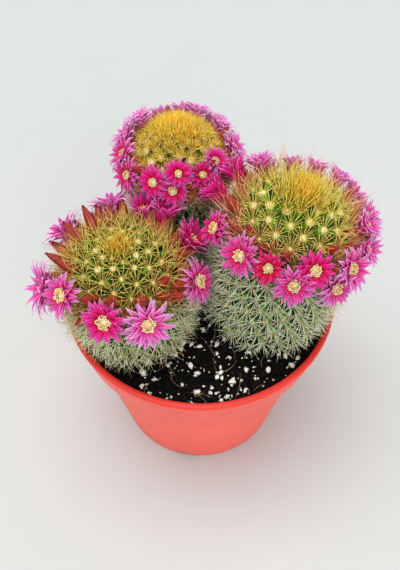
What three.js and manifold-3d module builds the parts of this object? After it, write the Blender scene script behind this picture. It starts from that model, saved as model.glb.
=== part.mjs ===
// Three round cacti in flower, planted together in a thin plastic nursery pot.
// Millimetres, +Z up. The model is laid out about the pot's axis with the ground at z = 0,
// and moved at the end so that the middle of its outer box stands over the origin.

import * as THREE from 'three';
import { mergeVertices } from 'three/addons/utils/BufferGeometryUtils.js';
import { ConvexHull } from 'three/addons/math/ConvexHull.js';
import Module from 'manifold-3d';

const wasm = await Module();
wasm.setup();

// Driving dimensions
const CLEARANCE = 0.4;
const POT = {
  sides: 48,
  height: 96,
  rimRadius: 65,
  lipHeight: 3,
  lipOverhang: 1.2,
  collarFoot: 77,
  collarFootRadius: 61,
  bodyTopRadius: 57.4,
  footRadius: 43,
  footRingWidth: 2.6,
  footRingHeight: 3,
  wall: 1.5,
  floor: 2,
  edge: 0.8,
  shelfDrop: 1,
};
const MOUTH_RADIUS = POT.rimRadius - POT.lipOverhang - POT.wall - 1;
const NOTCH = { count: 3, width: 13, height: 2, firstTurn: 260 };
const DRAIN = { count: 6, radius: 4, circleRadius: 26, sides: 12 };
const SOIL = { level: 89, sides: 48, cell: 34, grainHeight: 2.2, edgeMargin: 2, holeSides: 28 };

const OUTLINE_STEPS = 640;
const DISTANCE_STRIDE = 4;
const ROOT = { depth: 7, sides: 14, collarHeight: 0.5 };
const TUBERCLE = { cell: 70, crownCell: 21, crownFrom: 5, crownTo: 17, valley: 3.2, lowest: 6 };
const AREOLE = { radius: 1.05, drop: 0.45, corners: 3 };
const SPINE = {
  length: 6.4,
  crownLength: 8,
  height: 5.8,
  spread: 0.5,
  sizes: [1, 0.82, 0.66, 0.5, 0.36],
  testedAt: [0.4, 0.7, 1],
};
const BUD = { length: 9, radius: 2.1, belly: 1.6, rooted: 2, sides: 5, spacing: 5.6, lift: 0.35 };
const FLOWER = {
  tube: 11,
  throatRadius: 3,
  eyeRadius: 2.2,
  eyeHeight: 3,
  lip: 0.6,
  petals: 9,
  petalLength: 8.4,
  petalWidth: 3.7,
  petalThickness: 0.9,
  widestAt: 0.5,
  spreads: [82, 56, 70],
  spreadStep: 6,
  reflex: 16,
  wedgeShare: 0.82,
  spacing: 7.2,
  throatSpacing: 8,
  neighbourhood: 40,
  overSkin: 3,
  lifts: [0.25, 0.4, 0.6, 0.85, 1.2, 1.7, 2.5],
};

// Each flower is placed by its turn round the plant and its angle down from the crown, in degrees,
// and is flowerSize as large as FLOWER says.
const PLANTS = [
  {
    name: 'left',
    base: [-31, -14],
    apex: [-34.5, -17, 144],
    radius: 27.5,
    dome: 21,
    taper: 0.14,
    turn: 2.27,
    flowerSize: 0.95,
    buds: { from: 34, to: 66, share: 1 },
    flowers: [
      [292, 76], [261, 69], [220, 64], [196, 80], [345, 79],
      [17, 74], [50, 68], [72, 72], [97, 66], [144, 72],
    ],
  },
  {
    name: 'right',
    base: [31.5, -5.5],
    apex: [41.5, -2.5, 162],
    radius: 28.5,
    dome: 24,
    taper: 0.06,
    turn: 3.14,
    flowerSize: 0.86,
    buds: { from: 50, to: 66, share: 0.6 },
    flowers: [
      [225, 77], [246, 74], [266, 81], [279, 69], [297, 87], [310, 75],
      [192, 81], [161, 75], [140, 72], [122, 60], [104, 72], [87, 64],
      [68, 58], [50, 62], [34, 72], [18, 80], [2, 70], [345, 61], [331, 72],
    ],
  },
  {
    name: 'back',
    base: [-11.5, 34],
    apex: [-11, 38, 162.5],
    radius: 22,
    dome: 19,
    taper: 0.14,
    turn: 3.665,
    flowerSize: 0.75,
    buds: { from: 44, to: 58, share: 0.6 },
    flowers: [
      [247, 75], [273, 63], [267, 88], [215, 84], [195, 71], [300, 80],
      [321, 75], [343, 84], [5, 76], [25, 66], [45, 72], [65, 62],
      [85, 70], [106, 64], [127, 70], [148, 62], [170, 68],
    ],
  },
];

const COLOURS = {
  pot: 0xe8503c,
  soil: 0x2b211b,
  cactus: 0x7d9442,
  flower: 0xd6328c,
};

const UP = new THREE.Vector3(0, 0, 1);
const GOLDEN_TURN = Math.PI * (3 - Math.sqrt(5));
const WELD = 1e-4;

// A repeatable draw between 0 and 1.
function draw(seed) {
  const wave = Math.sin(seed * 12.9898) * 43758.5453;
  return wave - Math.floor(wave);
}

function geometryOf(points, triangles) {
  const geometry = new THREE.BufferGeometry().setFromPoints(points);
  geometry.setIndex(triangles.flat());
  geometry.computeVertexNormals();
  return geometry;
}

function toSolid(geometry, matrix = new THREE.Matrix4()) {
  const bare = geometry.clone().applyMatrix4(matrix);
  bare.deleteAttribute('normal');
  bare.deleteAttribute('uv');
  const welded = mergeVertices(bare, WELD);
  const corners = welded.index.array;
  const kept = [];
  for (let i = 0; i < corners.length; i += 3) {
    const [a, b, c] = corners.slice(i, i + 3);
    if (a !== b && b !== c && c !== a) kept.push(a, b, c);
  }
  return new wasm.Manifold(new wasm.Mesh({
    numProp: 3,
    vertProperties: new Float32Array(welded.attributes.position.array),
    triVerts: new Uint32Array(kept),
  }));
}

function fromSolid(solid) {
  const { vertProperties, triVerts } = solid.getMesh();
  const geometry = new THREE.BufferGeometry();
  geometry.setAttribute('position', new THREE.BufferAttribute(vertProperties, 3));
  geometry.setIndex(new THREE.BufferAttribute(triVerts, 1));
  geometry.computeVertexNormals();
  return geometry;
}

function largestBody(solid) {
  return solid.decompose().reduce((best, body) => (body.volume() > best.volume() ? body : best));
}

function piece(name, geometry, colour, roughness) {
  const material = new THREE.MeshStandardMaterial({
    color: colour,
    roughness,
    metalness: 0,
    flatShading: true,
  });
  const mesh = new THREE.Mesh(geometry, material);
  mesh.name = name;
  return mesh;
}

// A half outline given as radius and height, turned about the Z axis.
function turned(outline, sides) {
  const profile = outline.map(([radius, height]) => new THREE.Vector2(radius, height));
  return new THREE.LatheGeometry(profile, sides).rotateX(Math.PI / 2);
}

// The pot: a tapered cup on a low foot ring, with a wider collar under a rolled lip.

function potGeometry() {
  const lipRadius = POT.rimRadius - POT.lipOverhang;
  const lipFoot = POT.height - POT.lipHeight;
  const floorTop = POT.footRingHeight + POT.floor;
  const outline = [
    [0, POT.footRingHeight],
    [POT.footRadius - POT.footRingWidth, POT.footRingHeight],
    [POT.footRadius - POT.footRingWidth, 0],
    [POT.footRadius - POT.edge, 0],
    [POT.footRadius, POT.edge],
    [POT.bodyTopRadius, POT.collarFoot - POT.shelfDrop],
    [POT.collarFootRadius, POT.collarFoot],
    [lipRadius, lipFoot],
    [POT.rimRadius, lipFoot + POT.edge],
    [POT.rimRadius, POT.height - POT.edge],
    [POT.rimRadius - POT.edge, POT.height],
    [lipRadius - POT.edge, POT.height],
    [lipRadius - POT.wall, lipFoot],
    [POT.collarFootRadius - POT.wall, POT.collarFoot + POT.wall],
    [POT.bodyTopRadius - POT.wall, POT.collarFoot + POT.wall - POT.shelfDrop],
    [POT.footRadius - POT.wall + POT.edge, floorTop],
    [0, floorTop],
  ];
  let pot = toSolid(turned(outline, POT.sides));
  for (let i = 0; i < NOTCH.count; i++) {
    const turn = THREE.MathUtils.degToRad(NOTCH.firstTurn + (360 * i) / NOTCH.count);
    const notch = new THREE.BoxGeometry(3 * POT.footRingWidth, NOTCH.width, 2 * NOTCH.height);
    notch.translate(POT.footRadius - POT.footRingWidth / 2, 0, 0).rotateZ(turn);
    pot = pot.subtract(toSolid(notch));
  }
  for (let i = 0; i < DRAIN.count; i++) {
    const hole = new THREE.CylinderGeometry(DRAIN.radius, DRAIN.radius, 4 * POT.floor, DRAIN.sides);
    hole.rotateX(Math.PI / 2).translate(DRAIN.circleRadius, 0, POT.footRingHeight + POT.floor / 2);
    hole.rotateZ(((i + 0.5) * 2 * Math.PI) / DRAIN.count);
    pot = pot.subtract(toSolid(hole));
  }
  return fromSolid(pot);
}

// Skins: points spread over a body of revolution by the golden angle, and the net that joins them.

// Adds to each point of a half outline its length from the top, its outward direction, and the
// angle where it falls on a ball that it maps onto without stretching one way more than the other.
function measured(outline) {
  const samples = [];
  let length = 0;
  let stretch = 0;
  for (let i = 1; i < outline.length - 1; i++) {
    const [before, here, after] = [outline[i - 1], outline[i], outline[i + 1]];
    const step = here.distanceTo(before);
    length += step;
    stretch = i === 1 ? Math.log(here.x) : stretch + (2 * step) / (here.x + before.x);
    const along = after.clone().sub(before).normalize();
    samples.push({ radius: here.x, height: here.y, length, stretch, along, step });
  }
  const middle = samples[Math.floor(samples.length / 2)].stretch;
  samples.forEach((sample) => {
    sample.ballAngle = 2 * Math.atan(Math.exp(sample.stretch - middle));
  });
  return samples;
}

function siteAt(sample, turn, extra = {}) {
  const across = new THREE.Vector3(Math.cos(turn), Math.sin(turn), 0);
  const down = across.clone().multiplyScalar(sample.along.x).addScaledVector(UP, sample.along.y);
  const round = new THREE.Vector3(-Math.sin(turn), Math.cos(turn), 0);
  return {
    place: across.clone().multiplyScalar(sample.radius).addScaledVector(UP, sample.height),
    down,
    round,
    normal: down.clone().cross(round),
    ball: across.clone().multiplyScalar(Math.sin(sample.ballAngle))
      .addScaledVector(UP, Math.cos(sample.ballAngle)),
    ...extra,
  };
}

function goldenSites(samples, firstTurn, cellOf, isInside) {
  const sites = [];
  let owed = 0.5;
  for (const sample of samples) {
    if (!isInside(sample)) break;
    const cell = cellOf(sample.length);
    owed += (2 * Math.PI * sample.radius * sample.step) / cell;
    if (owed < 1) continue;
    owed -= 1;
    sites.push(siteAt(sample, firstTurn + sites.length * GOLDEN_TURN, { cell }));
  }
  return sites;
}

function ringOfSites(sample, sides, firstTurn) {
  return Array.from({ length: sides }, (_, i) => (
    siteAt(sample, firstTurn + (2 * Math.PI * i) / sides, { plain: true })
  ));
}

function bottomSite(height) {
  const down = UP.clone().negate();
  return { place: new THREE.Vector3(0, 0, height), ball: down, normal: down, plain: true };
}

// The triangles that join sites to their neighbours, anticlockwise from outside.
function netOf(sites) {
  const numbers = new Map(sites.map((site, i) => [site.ball, i]));
  const hull = new ConvexHull().setFromPoints(sites.map((site) => site.ball));
  return hull.faces.map((face) => [0, 1, 2].map((i) => numbers.get(face.getEdge(i).head().point)));
}

// Round each site, the numbers of the triangles that meet there, in anticlockwise order.
function ringsOf(triangles, siteCount) {
  const leftOf = new Map();
  const first = [];
  triangles.forEach(([a, b, c], number) => {
    [[a, b, c], [b, c, a], [c, a, b]].forEach(([from, to, third]) => {
      leftOf.set(from * siteCount + to, { number, third });
      first[from] = to;
    });
  });
  return first.map((start, from) => {
    const ring = [];
    let to = start;
    do {
      const { number, third } = leftOf.get(from * siteCount + to);
      ring.push(number);
      to = third;
    } while (to !== start);
    return ring;
  });
}

// The soil: a fill that follows the pot's wall, with a grainy top and a plain hole for each plant.

function soilGeometry(plants) {
  const gap = CLEARANCE;
  const corners = [
    [MOUTH_RADIUS - gap, SOIL.level],
    [POT.collarFootRadius - POT.wall - gap, POT.collarFoot + POT.wall + gap],
    [POT.bodyTopRadius - POT.wall - 2 * gap, POT.collarFoot + POT.wall - POT.shelfDrop + gap / 2],
    [POT.footRadius - POT.wall - gap, POT.footRingHeight + POT.floor + gap],
  ];
  const path = new THREE.Path();
  path.moveTo(0, SOIL.level);
  [...corners, [0, corners[3][1]]].forEach(([radius, height]) => path.lineTo(radius, height));
  const samples = measured(path.getSpacedPoints(OUTLINE_STEPS));
  const topEdge = corners[0][0];
  const isTop = (sample) => sample.radius < topEdge - SOIL.edgeMargin;
  const sites = goldenSites(samples, 0, () => SOIL.cell, isTop);
  sites.forEach((site, i) => {
    site.place.z += SOIL.grainHeight * draw(i + 1) ** 2;
  });
  corners.forEach(([radius, height], i) => {
    const nearest = samples.reduce((best, sample) => (
      Math.hypot(sample.radius - radius, sample.height - height)
        < Math.hypot(best.radius - radius, best.height - height) ? sample : best
    ));
    const exact = { ...nearest, radius, height };
    sites.push(...ringOfSites(exact, SOIL.sides, (i * Math.PI) / SOIL.sides));
  });
  sites.push(bottomSite(corners[3][1]));
  let soil = toSolid(geometryOf(sites.map((site) => site.place), netOf(sites)));
  for (const plant of plants) {
    const holeRadius = plant.buriedRadius + CLEARANCE;
    const depth = ROOT.depth + CLEARANCE;
    const hole = new THREE.CylinderGeometry(holeRadius, holeRadius, 2 * depth, SOIL.holeSides);
    hole.rotateX(Math.PI / 2);
    soil = soil.subtract(toSolid(hole, plant.group.matrixWorld));
  }
  return fromSolid(largestBody(soil));
}

// The plants: where each one stands, its net of tubercles, and how far a point is from its skin.

function makePlant(settings) {
  const foot = new THREE.Vector3(...settings.base, SOIL.level);
  const apex = new THREE.Vector3(...settings.apex);
  const group = new THREE.Group();
  group.position.copy(foot);
  group.quaternion.setFromUnitVectors(UP, apex.clone().sub(foot).normalize());
  group.updateMatrixWorld();

  const side = apex.distanceTo(foot) - settings.dome;
  const footRadius = settings.radius * (1 - settings.taper);
  const path = new THREE.Path();
  path.absellipse(0, side, settings.radius, settings.dome, Math.PI / 2, 0, true);
  path.quadraticCurveTo(settings.radius, side / 2, footRadius, 0);
  path.lineTo(footRadius, -ROOT.depth);
  path.lineTo(0, -ROOT.depth);
  const samples = measured(path.getSpacedPoints(OUTLINE_STEPS));

  const sites = goldenSites(samples, settings.turn, cellAt, (sample) => sample.height > TUBERCLE.lowest);
  const collar = samples.find((sample) => sample.height < ROOT.collarHeight);
  const corner = samples.findLast((sample) => sample.height > -ROOT.depth + CLEARANCE / 4);
  sites.push(...ringOfSites(collar, ROOT.sides, settings.turn));
  sites.push(...ringOfSites(corner, ROOT.sides, settings.turn + Math.PI / ROOT.sides));
  sites.push(bottomSite(-ROOT.depth));
  const triangles = netOf(sites);
  const rings = ringsOf(triangles, sites.length);
  sites.forEach((site, i) => {
    site.ring = rings[i];
  });
  const axils = triangles.map((corners) => makeAxil(corners.map((number) => sites[number])));
  return { ...settings, group, side, samples, sites, axils, buriedRadius: footRadius };
}

function cellAt(length) {
  const grown = THREE.MathUtils.smoothstep(length, TUBERCLE.crownFrom, TUBERCLE.crownTo);
  return THREE.MathUtils.lerp(TUBERCLE.crownCell, TUBERCLE.cell, grown);
}

// The hollow between three neighbouring tubercles, where buds and flowers grow.
function makeAxil(corners) {
  const place = new THREE.Vector3();
  const normal = new THREE.Vector3();
  corners.forEach((site) => {
    place.addScaledVector(site.place, 1 / 3);
    normal.add(site.normal);
  });
  normal.normalize();
  const raised = corners.filter((site) => !site.plain);
  const mostCell = Math.max(0, ...raised.map((site) => site.cell));
  const depth = TUBERCLE.valley * (raised.length / 3) * Math.sqrt(mostCell / TUBERCLE.cell);
  return { place: place.addScaledVector(normal, -depth), normal, isFertile: raised.length === 3 };
}

function placeOnDome(plant, turnDegrees, polarDegrees) {
  const turn = THREE.MathUtils.degToRad(turnDegrees);
  const polar = THREE.MathUtils.degToRad(polarDegrees);
  return new THREE.Vector3(
    plant.radius * Math.sin(polar) * Math.cos(turn),
    plant.radius * Math.sin(polar) * Math.sin(turn),
    plant.side + plant.dome * Math.cos(polar),
  );
}

function polarOf(plant, place) {
  const across = Math.hypot(place.x, place.y) / plant.radius;
  return THREE.MathUtils.radToDeg(Math.atan2(across, (place.z - plant.side) / plant.dome));
}

function skinDistance(plant, point) {
  const local = plant.group.worldToLocal(point.clone());
  const across = Math.hypot(local.x, local.y);
  let nearest = Infinity;
  for (let i = 0; i < plant.samples.length; i += DISTANCE_STRIDE) {
    const { radius, height } = plant.samples[i];
    nearest = Math.min(nearest, Math.hypot(across - radius, local.z - height));
  }
  return nearest;
}

// Puts a holder for each flower on its plant: the origin on its axil, the Z axis up its tube.
function growFlowers(plants) {
  const flowers = [];
  for (const plant of plants) {
    plant.flowers.forEach(([turn, polar], i) => {
      const axil = nearestAxil(plant, placeOnDome(plant, turn, polar), flowers);
      const holder = new THREE.Group();
      holder.scale.setScalar(plant.flowerSize);
      holder.position.copy(axil.place).addScaledVector(axil.normal, CLEARANCE);
      plant.group.add(holder);
      const [throat, crest] = raiseFlower(holder, axil, plant, plants, flowers);
      const foot = holder.localToWorld(new THREE.Vector3());
      const name = `flower_${plant.name}_${i + 1}`;
      flowers.push({ name, plant, axil, holder, foot, throat, crest });
    });
  }
  return flowers;
}

function nearestAxil(plant, wanted, flowers) {
  const taken = flowers.filter((flower) => flower.plant === plant).map((flower) => flower.axil);
  const spacing = FLOWER.spacing * plant.flowerSize;
  const free = plant.axils.filter((axil) => (
    axil.isFertile && taken.every((other) => other.place.distanceTo(axil.place) > spacing)
  ));
  return free.reduce((best, next) => (
    next.place.distanceTo(wanted) < best.place.distanceTo(wanted) ? next : best
  ));
}

// Turns a flower up from its axil until its throat, and the crest where its petals would end
// if they stood upright, are clear of what grew before it.
function raiseFlower(holder, axil, plant, plants, flowers) {
  let marks = [];
  for (const lift of FLOWER.lifts) {
    const direction = axil.normal.clone().addScaledVector(UP, lift).normalize();
    holder.quaternion.setFromUnitVectors(UP, direction);
    holder.updateMatrixWorld();
    marks = [FLOWER.tube, FLOWER.tube + FLOWER.petalLength].map((height) => (
      holder.localToWorld(new THREE.Vector3(0, 0, height))
    ));
    const clearsPlants = marks.every((mark) => plants.every((other) => (
      other === plant || skinDistance(other, mark) > SPINE.length + FLOWER.throatRadius
    )));
    const apart = FLOWER.throatSpacing * plant.flowerSize;
    const clearsFlowers = flowers.every(({ throat, crest }) => (
      marks[0].distanceTo(throat) > apart && marks[1].distanceTo(crest) > apart
    ));
    if (clearsPlants && clearsFlowers) break;
  }
  return marks;
}

// Buds stand in the axils of a band above the flowers.
function growBuds(plant, flowers) {
  const taken = flowers.filter((flower) => flower.plant === plant).map((flower) => flower.axil);
  const buds = [];
  plant.axils.forEach((axil, i) => {
    const polar = polarOf(plant, axil.place);
    const isInBand = polar > plant.buds.from && polar < plant.buds.to;
    const hasRoom = taken.every((other) => other.place.distanceTo(axil.place) > BUD.spacing);
    if (!axil.isFertile || !isInBand || !hasRoom || draw(i + 1) > plant.buds.share) return;
    taken.push(axil);
    const direction = axil.normal.clone().addScaledVector(UP, BUD.lift).normalize();
    const turn = new THREE.Quaternion().setFromUnitVectors(UP, direction);
    const matrix = new THREE.Matrix4().compose(axil.place, turn, new THREE.Vector3(1, 1, 1));
    const foot = plant.group.localToWorld(axil.place.clone());
    const tip = plant.group.localToWorld(axil.place.clone().addScaledVector(direction, BUD.length));
    buds.push({ matrix, segment: new THREE.Line3(foot, tip) });
  });
  return buds;
}

function segmentDistance(segment, point) {
  return segment.closestPointToPoint(point, true, new THREE.Vector3()).distanceTo(point);
}

// Each petal opens as far as the plants, buds and flowers near it let it.
function openPetals(flower, flowers, plants, buds) {
  const { holder, plant } = flower;
  const isClear = (local) => {
    const point = holder.localToWorld(local.clone());
    const keepsToItself = flowers.every((other) => {
      const isFar = other.throat.distanceTo(flower.throat) > FLOWER.neighbourhood;
      if (other === flower || isFar) return true;
      const toOther = other.throat.clone().sub(flower.throat);
      const middle = flower.throat.clone().addScaledVector(toOther, 0.5);
      return middle.sub(point).dot(toOther.normalize()) > CLEARANCE / 2;
    });
    return keepsToItself
      && plants.every((other) => (
        skinDistance(other, point) > (other === plant ? FLOWER.overSkin : SPINE.height)
      ))
      && buds.every((bud) => segmentDistance(bud.segment, point) > BUD.radius + CLEARANCE);
  };
  flower.petals = Array.from({ length: FLOWER.petals }, (_, i) => openPetal(i, isClear));
  flower.petalAxes = flower.petals.map(([left, right, , tip]) => {
    const middle = left.clone().lerp(right, 0.5);
    return new THREE.Line3(holder.localToWorld(middle), holder.localToWorld(tip.clone()));
  });
}

// A flower: a tube that widens to its throat, a mound of stamens, and petals round the rim.
function flowerGeometry(flower) {
  const count = FLOWER.petals;
  const points = [new THREE.Vector3(), new THREE.Vector3(0, 0, FLOWER.tube + FLOWER.eyeHeight)];
  for (let i = 0; i < count; i++) {
    const turn = (2 * Math.PI * (i - 0.5)) / count;
    const across = new THREE.Vector3(Math.cos(turn), Math.sin(turn), 0);
    points.push(across.clone().multiplyScalar(FLOWER.throatRadius).setZ(FLOWER.tube));
    points.push(across.clone().multiplyScalar(FLOWER.eyeRadius).setZ(FLOWER.tube + FLOWER.lip));
  }
  const triangles = [];
  for (let i = 0; i < count; i++) {
    const [a, d] = [2 + 2 * i, 3 + 2 * i];
    const [b, c] = [2 + 2 * ((i + 1) % count), 3 + 2 * ((i + 1) % count)];
    const [left, right, keel, tip] = [0, 1, 2, 3].map((n) => points.length + n);
    points.push(...flower.petals[i]);
    triangles.push([b, a, 0], [d, c, 1]);
    triangles.push([d, left, right], [d, right, c], [left, tip, right]);
    triangles.push([d, a, keel], [d, keel, left], [a, b, keel], [c, keel, b], [c, right, keel]);
    triangles.push([left, keel, tip], [keel, right, tip]);
  }
  return geometryOf(points, triangles);
}

function openPetal(i, isClear) {
  const widest = FLOWER.spreads[i % FLOWER.spreads.length];
  for (let spread = widest; spread > 0; spread -= FLOWER.spreadStep) {
    const petal = petalPoints(i, spread, spread === widest ? FLOWER.reflex : 0);
    const tip = petal.at(-1);
    const between = petal.slice(0, -1).map((point) => point.clone().lerp(tip, 0.5));
    if ([...petal, ...between].every(isClear)) return petal;
  }
  return petalPoints(i, 0, 0);
}

// Left and right edge at the widest place, the keel under it, and the tip.
function petalPoints(i, spreadDegrees, reflexDegrees) {
  const turn = (2 * Math.PI * i) / FLOWER.petals;
  const across = new THREE.Vector3(Math.cos(turn), Math.sin(turn), 0);
  const side = new THREE.Vector3(-Math.sin(turn), Math.cos(turn), 0);
  const slope = (degrees) => {
    const angle = THREE.MathUtils.degToRad(degrees);
    return across.clone().multiplyScalar(Math.sin(angle)).addScaledVector(UP, Math.cos(angle));
  };
  const rootRadius = (FLOWER.throatRadius + FLOWER.eyeRadius) / 2;
  const root = across.clone().multiplyScalar(rootRadius).setZ(FLOWER.tube + FLOWER.lip);
  const along = slope(spreadDegrees);
  const middle = root.clone().addScaledVector(along, FLOWER.petalLength * FLOWER.widestAt);
  const tipSlope = slope(spreadDegrees + reflexDegrees);
  const tip = middle.clone().addScaledVector(tipSlope, FLOWER.petalLength * (1 - FLOWER.widestAt));
  const wedge = FLOWER.wedgeShare * Math.tan(Math.PI / FLOWER.petals) * middle.dot(across);
  const half = Math.min(FLOWER.petalWidth / 2, wedge);
  const under = side.clone().cross(along).normalize();
  return [
    middle.clone().addScaledVector(side, -half),
    middle.clone().addScaledVector(side, half),
    middle.clone().addScaledVector(under, FLOWER.petalThickness),
    tip,
  ];
}

// The cactus body: a tubercle at every site, with an areole on top and its spines, and the buds.

function cactusGeometry(plant, plants, flowers, buds) {
  const points = [...plant.sites, ...plant.axils].map(({ place }) => place.clone());
  const triangles = [];
  plant.sites.forEach((site, number) => {
    const ring = site.ring.map((axil) => plant.sites.length + axil);
    if (site.plain) {
      ring.forEach((corner, i) => triangles.push([number, corner, ring[(i + 1) % ring.length]]));
      return;
    }
    const areole = areoleCorners(site).map((corner) => points.push(corner) - 1);
    triangles.push(...band(areole, ring, points, site));
    areole.forEach((corner, i) => {
      const next = areole[(i + 1) % areole.length];
      const tip = spineTip(plant, plants, flowers, site, (i + 0.5) / areole.length);
      if (!tip) {
        triangles.push([number, corner, next]);
        return;
      }
      const top = points.push(tip) - 1;
      triangles.push([number, corner, top], [corner, next, top], [next, number, top]);
    });
  });
  let body = toSolid(geometryOf(points, triangles));
  for (const bud of buds) {
    const outline = [[0, -BUD.rooted], [BUD.radius, BUD.belly], [0, BUD.length]];
    body = body.add(toSolid(turned(outline, BUD.sides), bud.matrix));
  }
  for (const flower of flowers.filter((one) => one.plant === plant)) {
    body = body.subtract(toSolid(tubeSpace(), flower.holder.matrix));
  }
  return fromSolid(largestBody(body));
}

// The space that a flower's tube needs, with room round it.
function tubeSpace() {
  const radius = FLOWER.throatRadius + CLEARANCE;
  const outline = [[0, -CLEARANCE / 2], [CLEARANCE, 0], [radius, FLOWER.tube], [0, FLOWER.tube]];
  return turned(outline, FLOWER.petals);
}

function areoleCorners(site) {
  return Array.from({ length: AREOLE.corners }, (_, i) => {
    const turn = (2 * Math.PI * i) / AREOLE.corners;
    return site.place.clone()
      .addScaledVector(site.down, AREOLE.radius * Math.cos(turn))
      .addScaledVector(site.round, AREOLE.radius * Math.sin(turn))
      .addScaledVector(site.normal, -AREOLE.drop);
  });
}

// Joins an inner loop of points to the loop round it, both anticlockwise.
function band(inner, outer, points, site) {
  const angle = (number) => {
    const arm = points[number].clone().sub(site.place);
    return Math.atan2(arm.dot(site.round), arm.dot(site.down));
  };
  const unrolled = (loop, start) => {
    const angles = loop.map(angle);
    angles[0] += 2 * Math.PI * Math.round((start - angles[0]) / (2 * Math.PI));
    for (let i = 1; i < angles.length; i++) {
      while (angles[i] < angles[i - 1]) angles[i] += 2 * Math.PI;
    }
    return [...angles, angles[0] + 2 * Math.PI];
  };
  const start = angle(outer[0]);
  const apart = (number) => Math.abs(Math.sin((angle(number) - start) / 2));
  const nearest = inner.reduce((best, _, i) => (apart(inner[i]) < apart(inner[best]) ? i : best), 0);
  const turnedInner = [...inner.slice(nearest), ...inner.slice(0, nearest)];
  const outerAngles = unrolled(outer, start);
  const innerAngles = unrolled(turnedInner, start);
  const triangles = [];
  let [i, j] = [0, 0];
  while (i < outer.length || j < inner.length) {
    const outerMiddle = i < outer.length ? outerAngles[i] + outerAngles[i + 1] : Infinity;
    const innerMiddle = j < inner.length ? innerAngles[j] + innerAngles[j + 1] : Infinity;
    const near = turnedInner[j % inner.length];
    const far = outer[i % outer.length];
    if (outerMiddle <= innerMiddle) {
      i += 1;
      triangles.push([far, outer[i % outer.length], near]);
    } else {
      j += 1;
      triangles.push([turnedInner[j % inner.length], near, far]);
    }
  }
  return triangles;
}

// The longest spine that stays clear of the soil, the pot, the other plants and the flowers.
function spineTip(plant, plants, flowers, site, turnShare) {
  const turn = 2 * Math.PI * turnShare;
  const outward = site.down.clone().multiplyScalar(Math.cos(turn))
    .addScaledVector(site.round, Math.sin(turn));
  const crown = 1 - (site.cell - TUBERCLE.crownCell) / (TUBERCLE.cell - TUBERCLE.crownCell);
  const length = THREE.MathUtils.lerp(SPINE.length, SPINE.crownLength, crown);
  const reach = SPINE.spread * Math.sqrt(site.cell);
  const rise = Math.sqrt(length ** 2 - reach ** 2);
  const root = site.place.clone().addScaledVector(outward, AREOLE.radius / 2);
  for (const size of SPINE.sizes) {
    const arm = outward.clone().multiplyScalar(reach * size).addScaledVector(site.normal, rise * size);
    const isClear = SPINE.testedAt.every((share) => {
      const local = root.clone().addScaledVector(arm, share);
      return spineIsClear(plant, plants, flowers, plant.group.localToWorld(local));
    });
    if (isClear) return root.add(arm);
  }
  return null;
}

function spineIsClear(plant, plants, flowers, point) {
  if (point.z < SOIL.level + SOIL.grainHeight + CLEARANCE) return false;
  if (point.z < POT.height + CLEARANCE && Math.hypot(point.x, point.y) > MOUTH_RADIUS) return false;
  const own = skinDistance(plant, point);
  const keepsToItself = plants.every((other) => (
    other === plant || skinDistance(other, point) > own + CLEARANCE
  ));
  return keepsToItself && flowers.every((flower) => {
    const segment = new THREE.Line3(flower.foot, flower.throat);
    const share = segment.closestPointToPointParameter(point, true);
    return segmentDistance(segment, point) > FLOWER.throatRadius * share + 2 * CLEARANCE
      && flower.petalAxes.every((axis) => (
        segmentDistance(axis, point) > FLOWER.petalWidth / 2 + CLEARANCE
      ));
  });
}

// Assembly

const model = new THREE.Group();
const plants = PLANTS.map(makePlant);
plants.forEach((plant) => model.add(plant.group));
const flowers = growFlowers(plants);
const budsOf = new Map(plants.map((plant) => [plant, growBuds(plant, flowers)]));
const allBuds = [...budsOf.values()].flat();
flowers.forEach((flower) => openPetals(flower, flowers, plants, allBuds));

model.add(piece('pot', potGeometry(), COLOURS.pot, 0.45));
model.add(piece('soil', soilGeometry(plants), COLOURS.soil, 1));
for (const plant of plants) {
  const body = cactusGeometry(plant, plants, flowers, budsOf.get(plant));
  plant.group.add(piece(`cactus_${plant.name}`, body, COLOURS.cactus, 0.7));
}
for (const flower of flowers) {
  flower.holder.add(piece(flower.name, flowerGeometry(flower), COLOURS.flower, 0.6));
}

model.updateMatrixWorld(true);
const outer = new THREE.Box3().setFromObject(model, true);
model.position.set(-(outer.min.x + outer.max.x) / 2, -(outer.min.y + outer.max.y) / 2, -outer.min.z);

export default model;
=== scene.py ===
# Three round cacti in flower, planted together in a thin plastic nursery pot.
# Shapes are worked out in millimetres about the pot's axis, with the ground at z = 0,
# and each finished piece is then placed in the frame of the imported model, in metres.

import math

import bmesh
import bpy
import numpy as np
from mathutils import Matrix, Vector, noise


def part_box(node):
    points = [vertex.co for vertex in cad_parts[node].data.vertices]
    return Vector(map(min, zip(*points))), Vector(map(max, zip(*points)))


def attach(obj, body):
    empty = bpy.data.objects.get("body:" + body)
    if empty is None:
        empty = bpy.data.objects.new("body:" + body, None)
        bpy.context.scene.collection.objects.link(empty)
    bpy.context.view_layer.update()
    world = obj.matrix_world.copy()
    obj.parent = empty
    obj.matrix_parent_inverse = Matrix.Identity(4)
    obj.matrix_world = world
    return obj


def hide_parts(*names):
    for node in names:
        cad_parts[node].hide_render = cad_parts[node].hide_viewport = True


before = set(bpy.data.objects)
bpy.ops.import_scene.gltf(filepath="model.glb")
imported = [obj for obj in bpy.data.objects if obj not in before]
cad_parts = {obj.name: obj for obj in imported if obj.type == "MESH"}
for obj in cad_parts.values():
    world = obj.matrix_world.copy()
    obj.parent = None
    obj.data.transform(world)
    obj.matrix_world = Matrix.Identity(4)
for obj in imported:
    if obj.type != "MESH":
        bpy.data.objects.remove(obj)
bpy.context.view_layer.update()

# The camera: its place from the foot of the pot's axis, how far it looks down and is tipped, in degrees,
# and its focal length and the height of its picture in pixels
CAMERA_PLACE = (-0.2, -209.6, 365.7)
CAMERA_DOWN = 51.8
CAMERA_ROLL = 0.52
FOCAL_PIXELS = 700
PICTURE_PIXELS = 570
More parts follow.
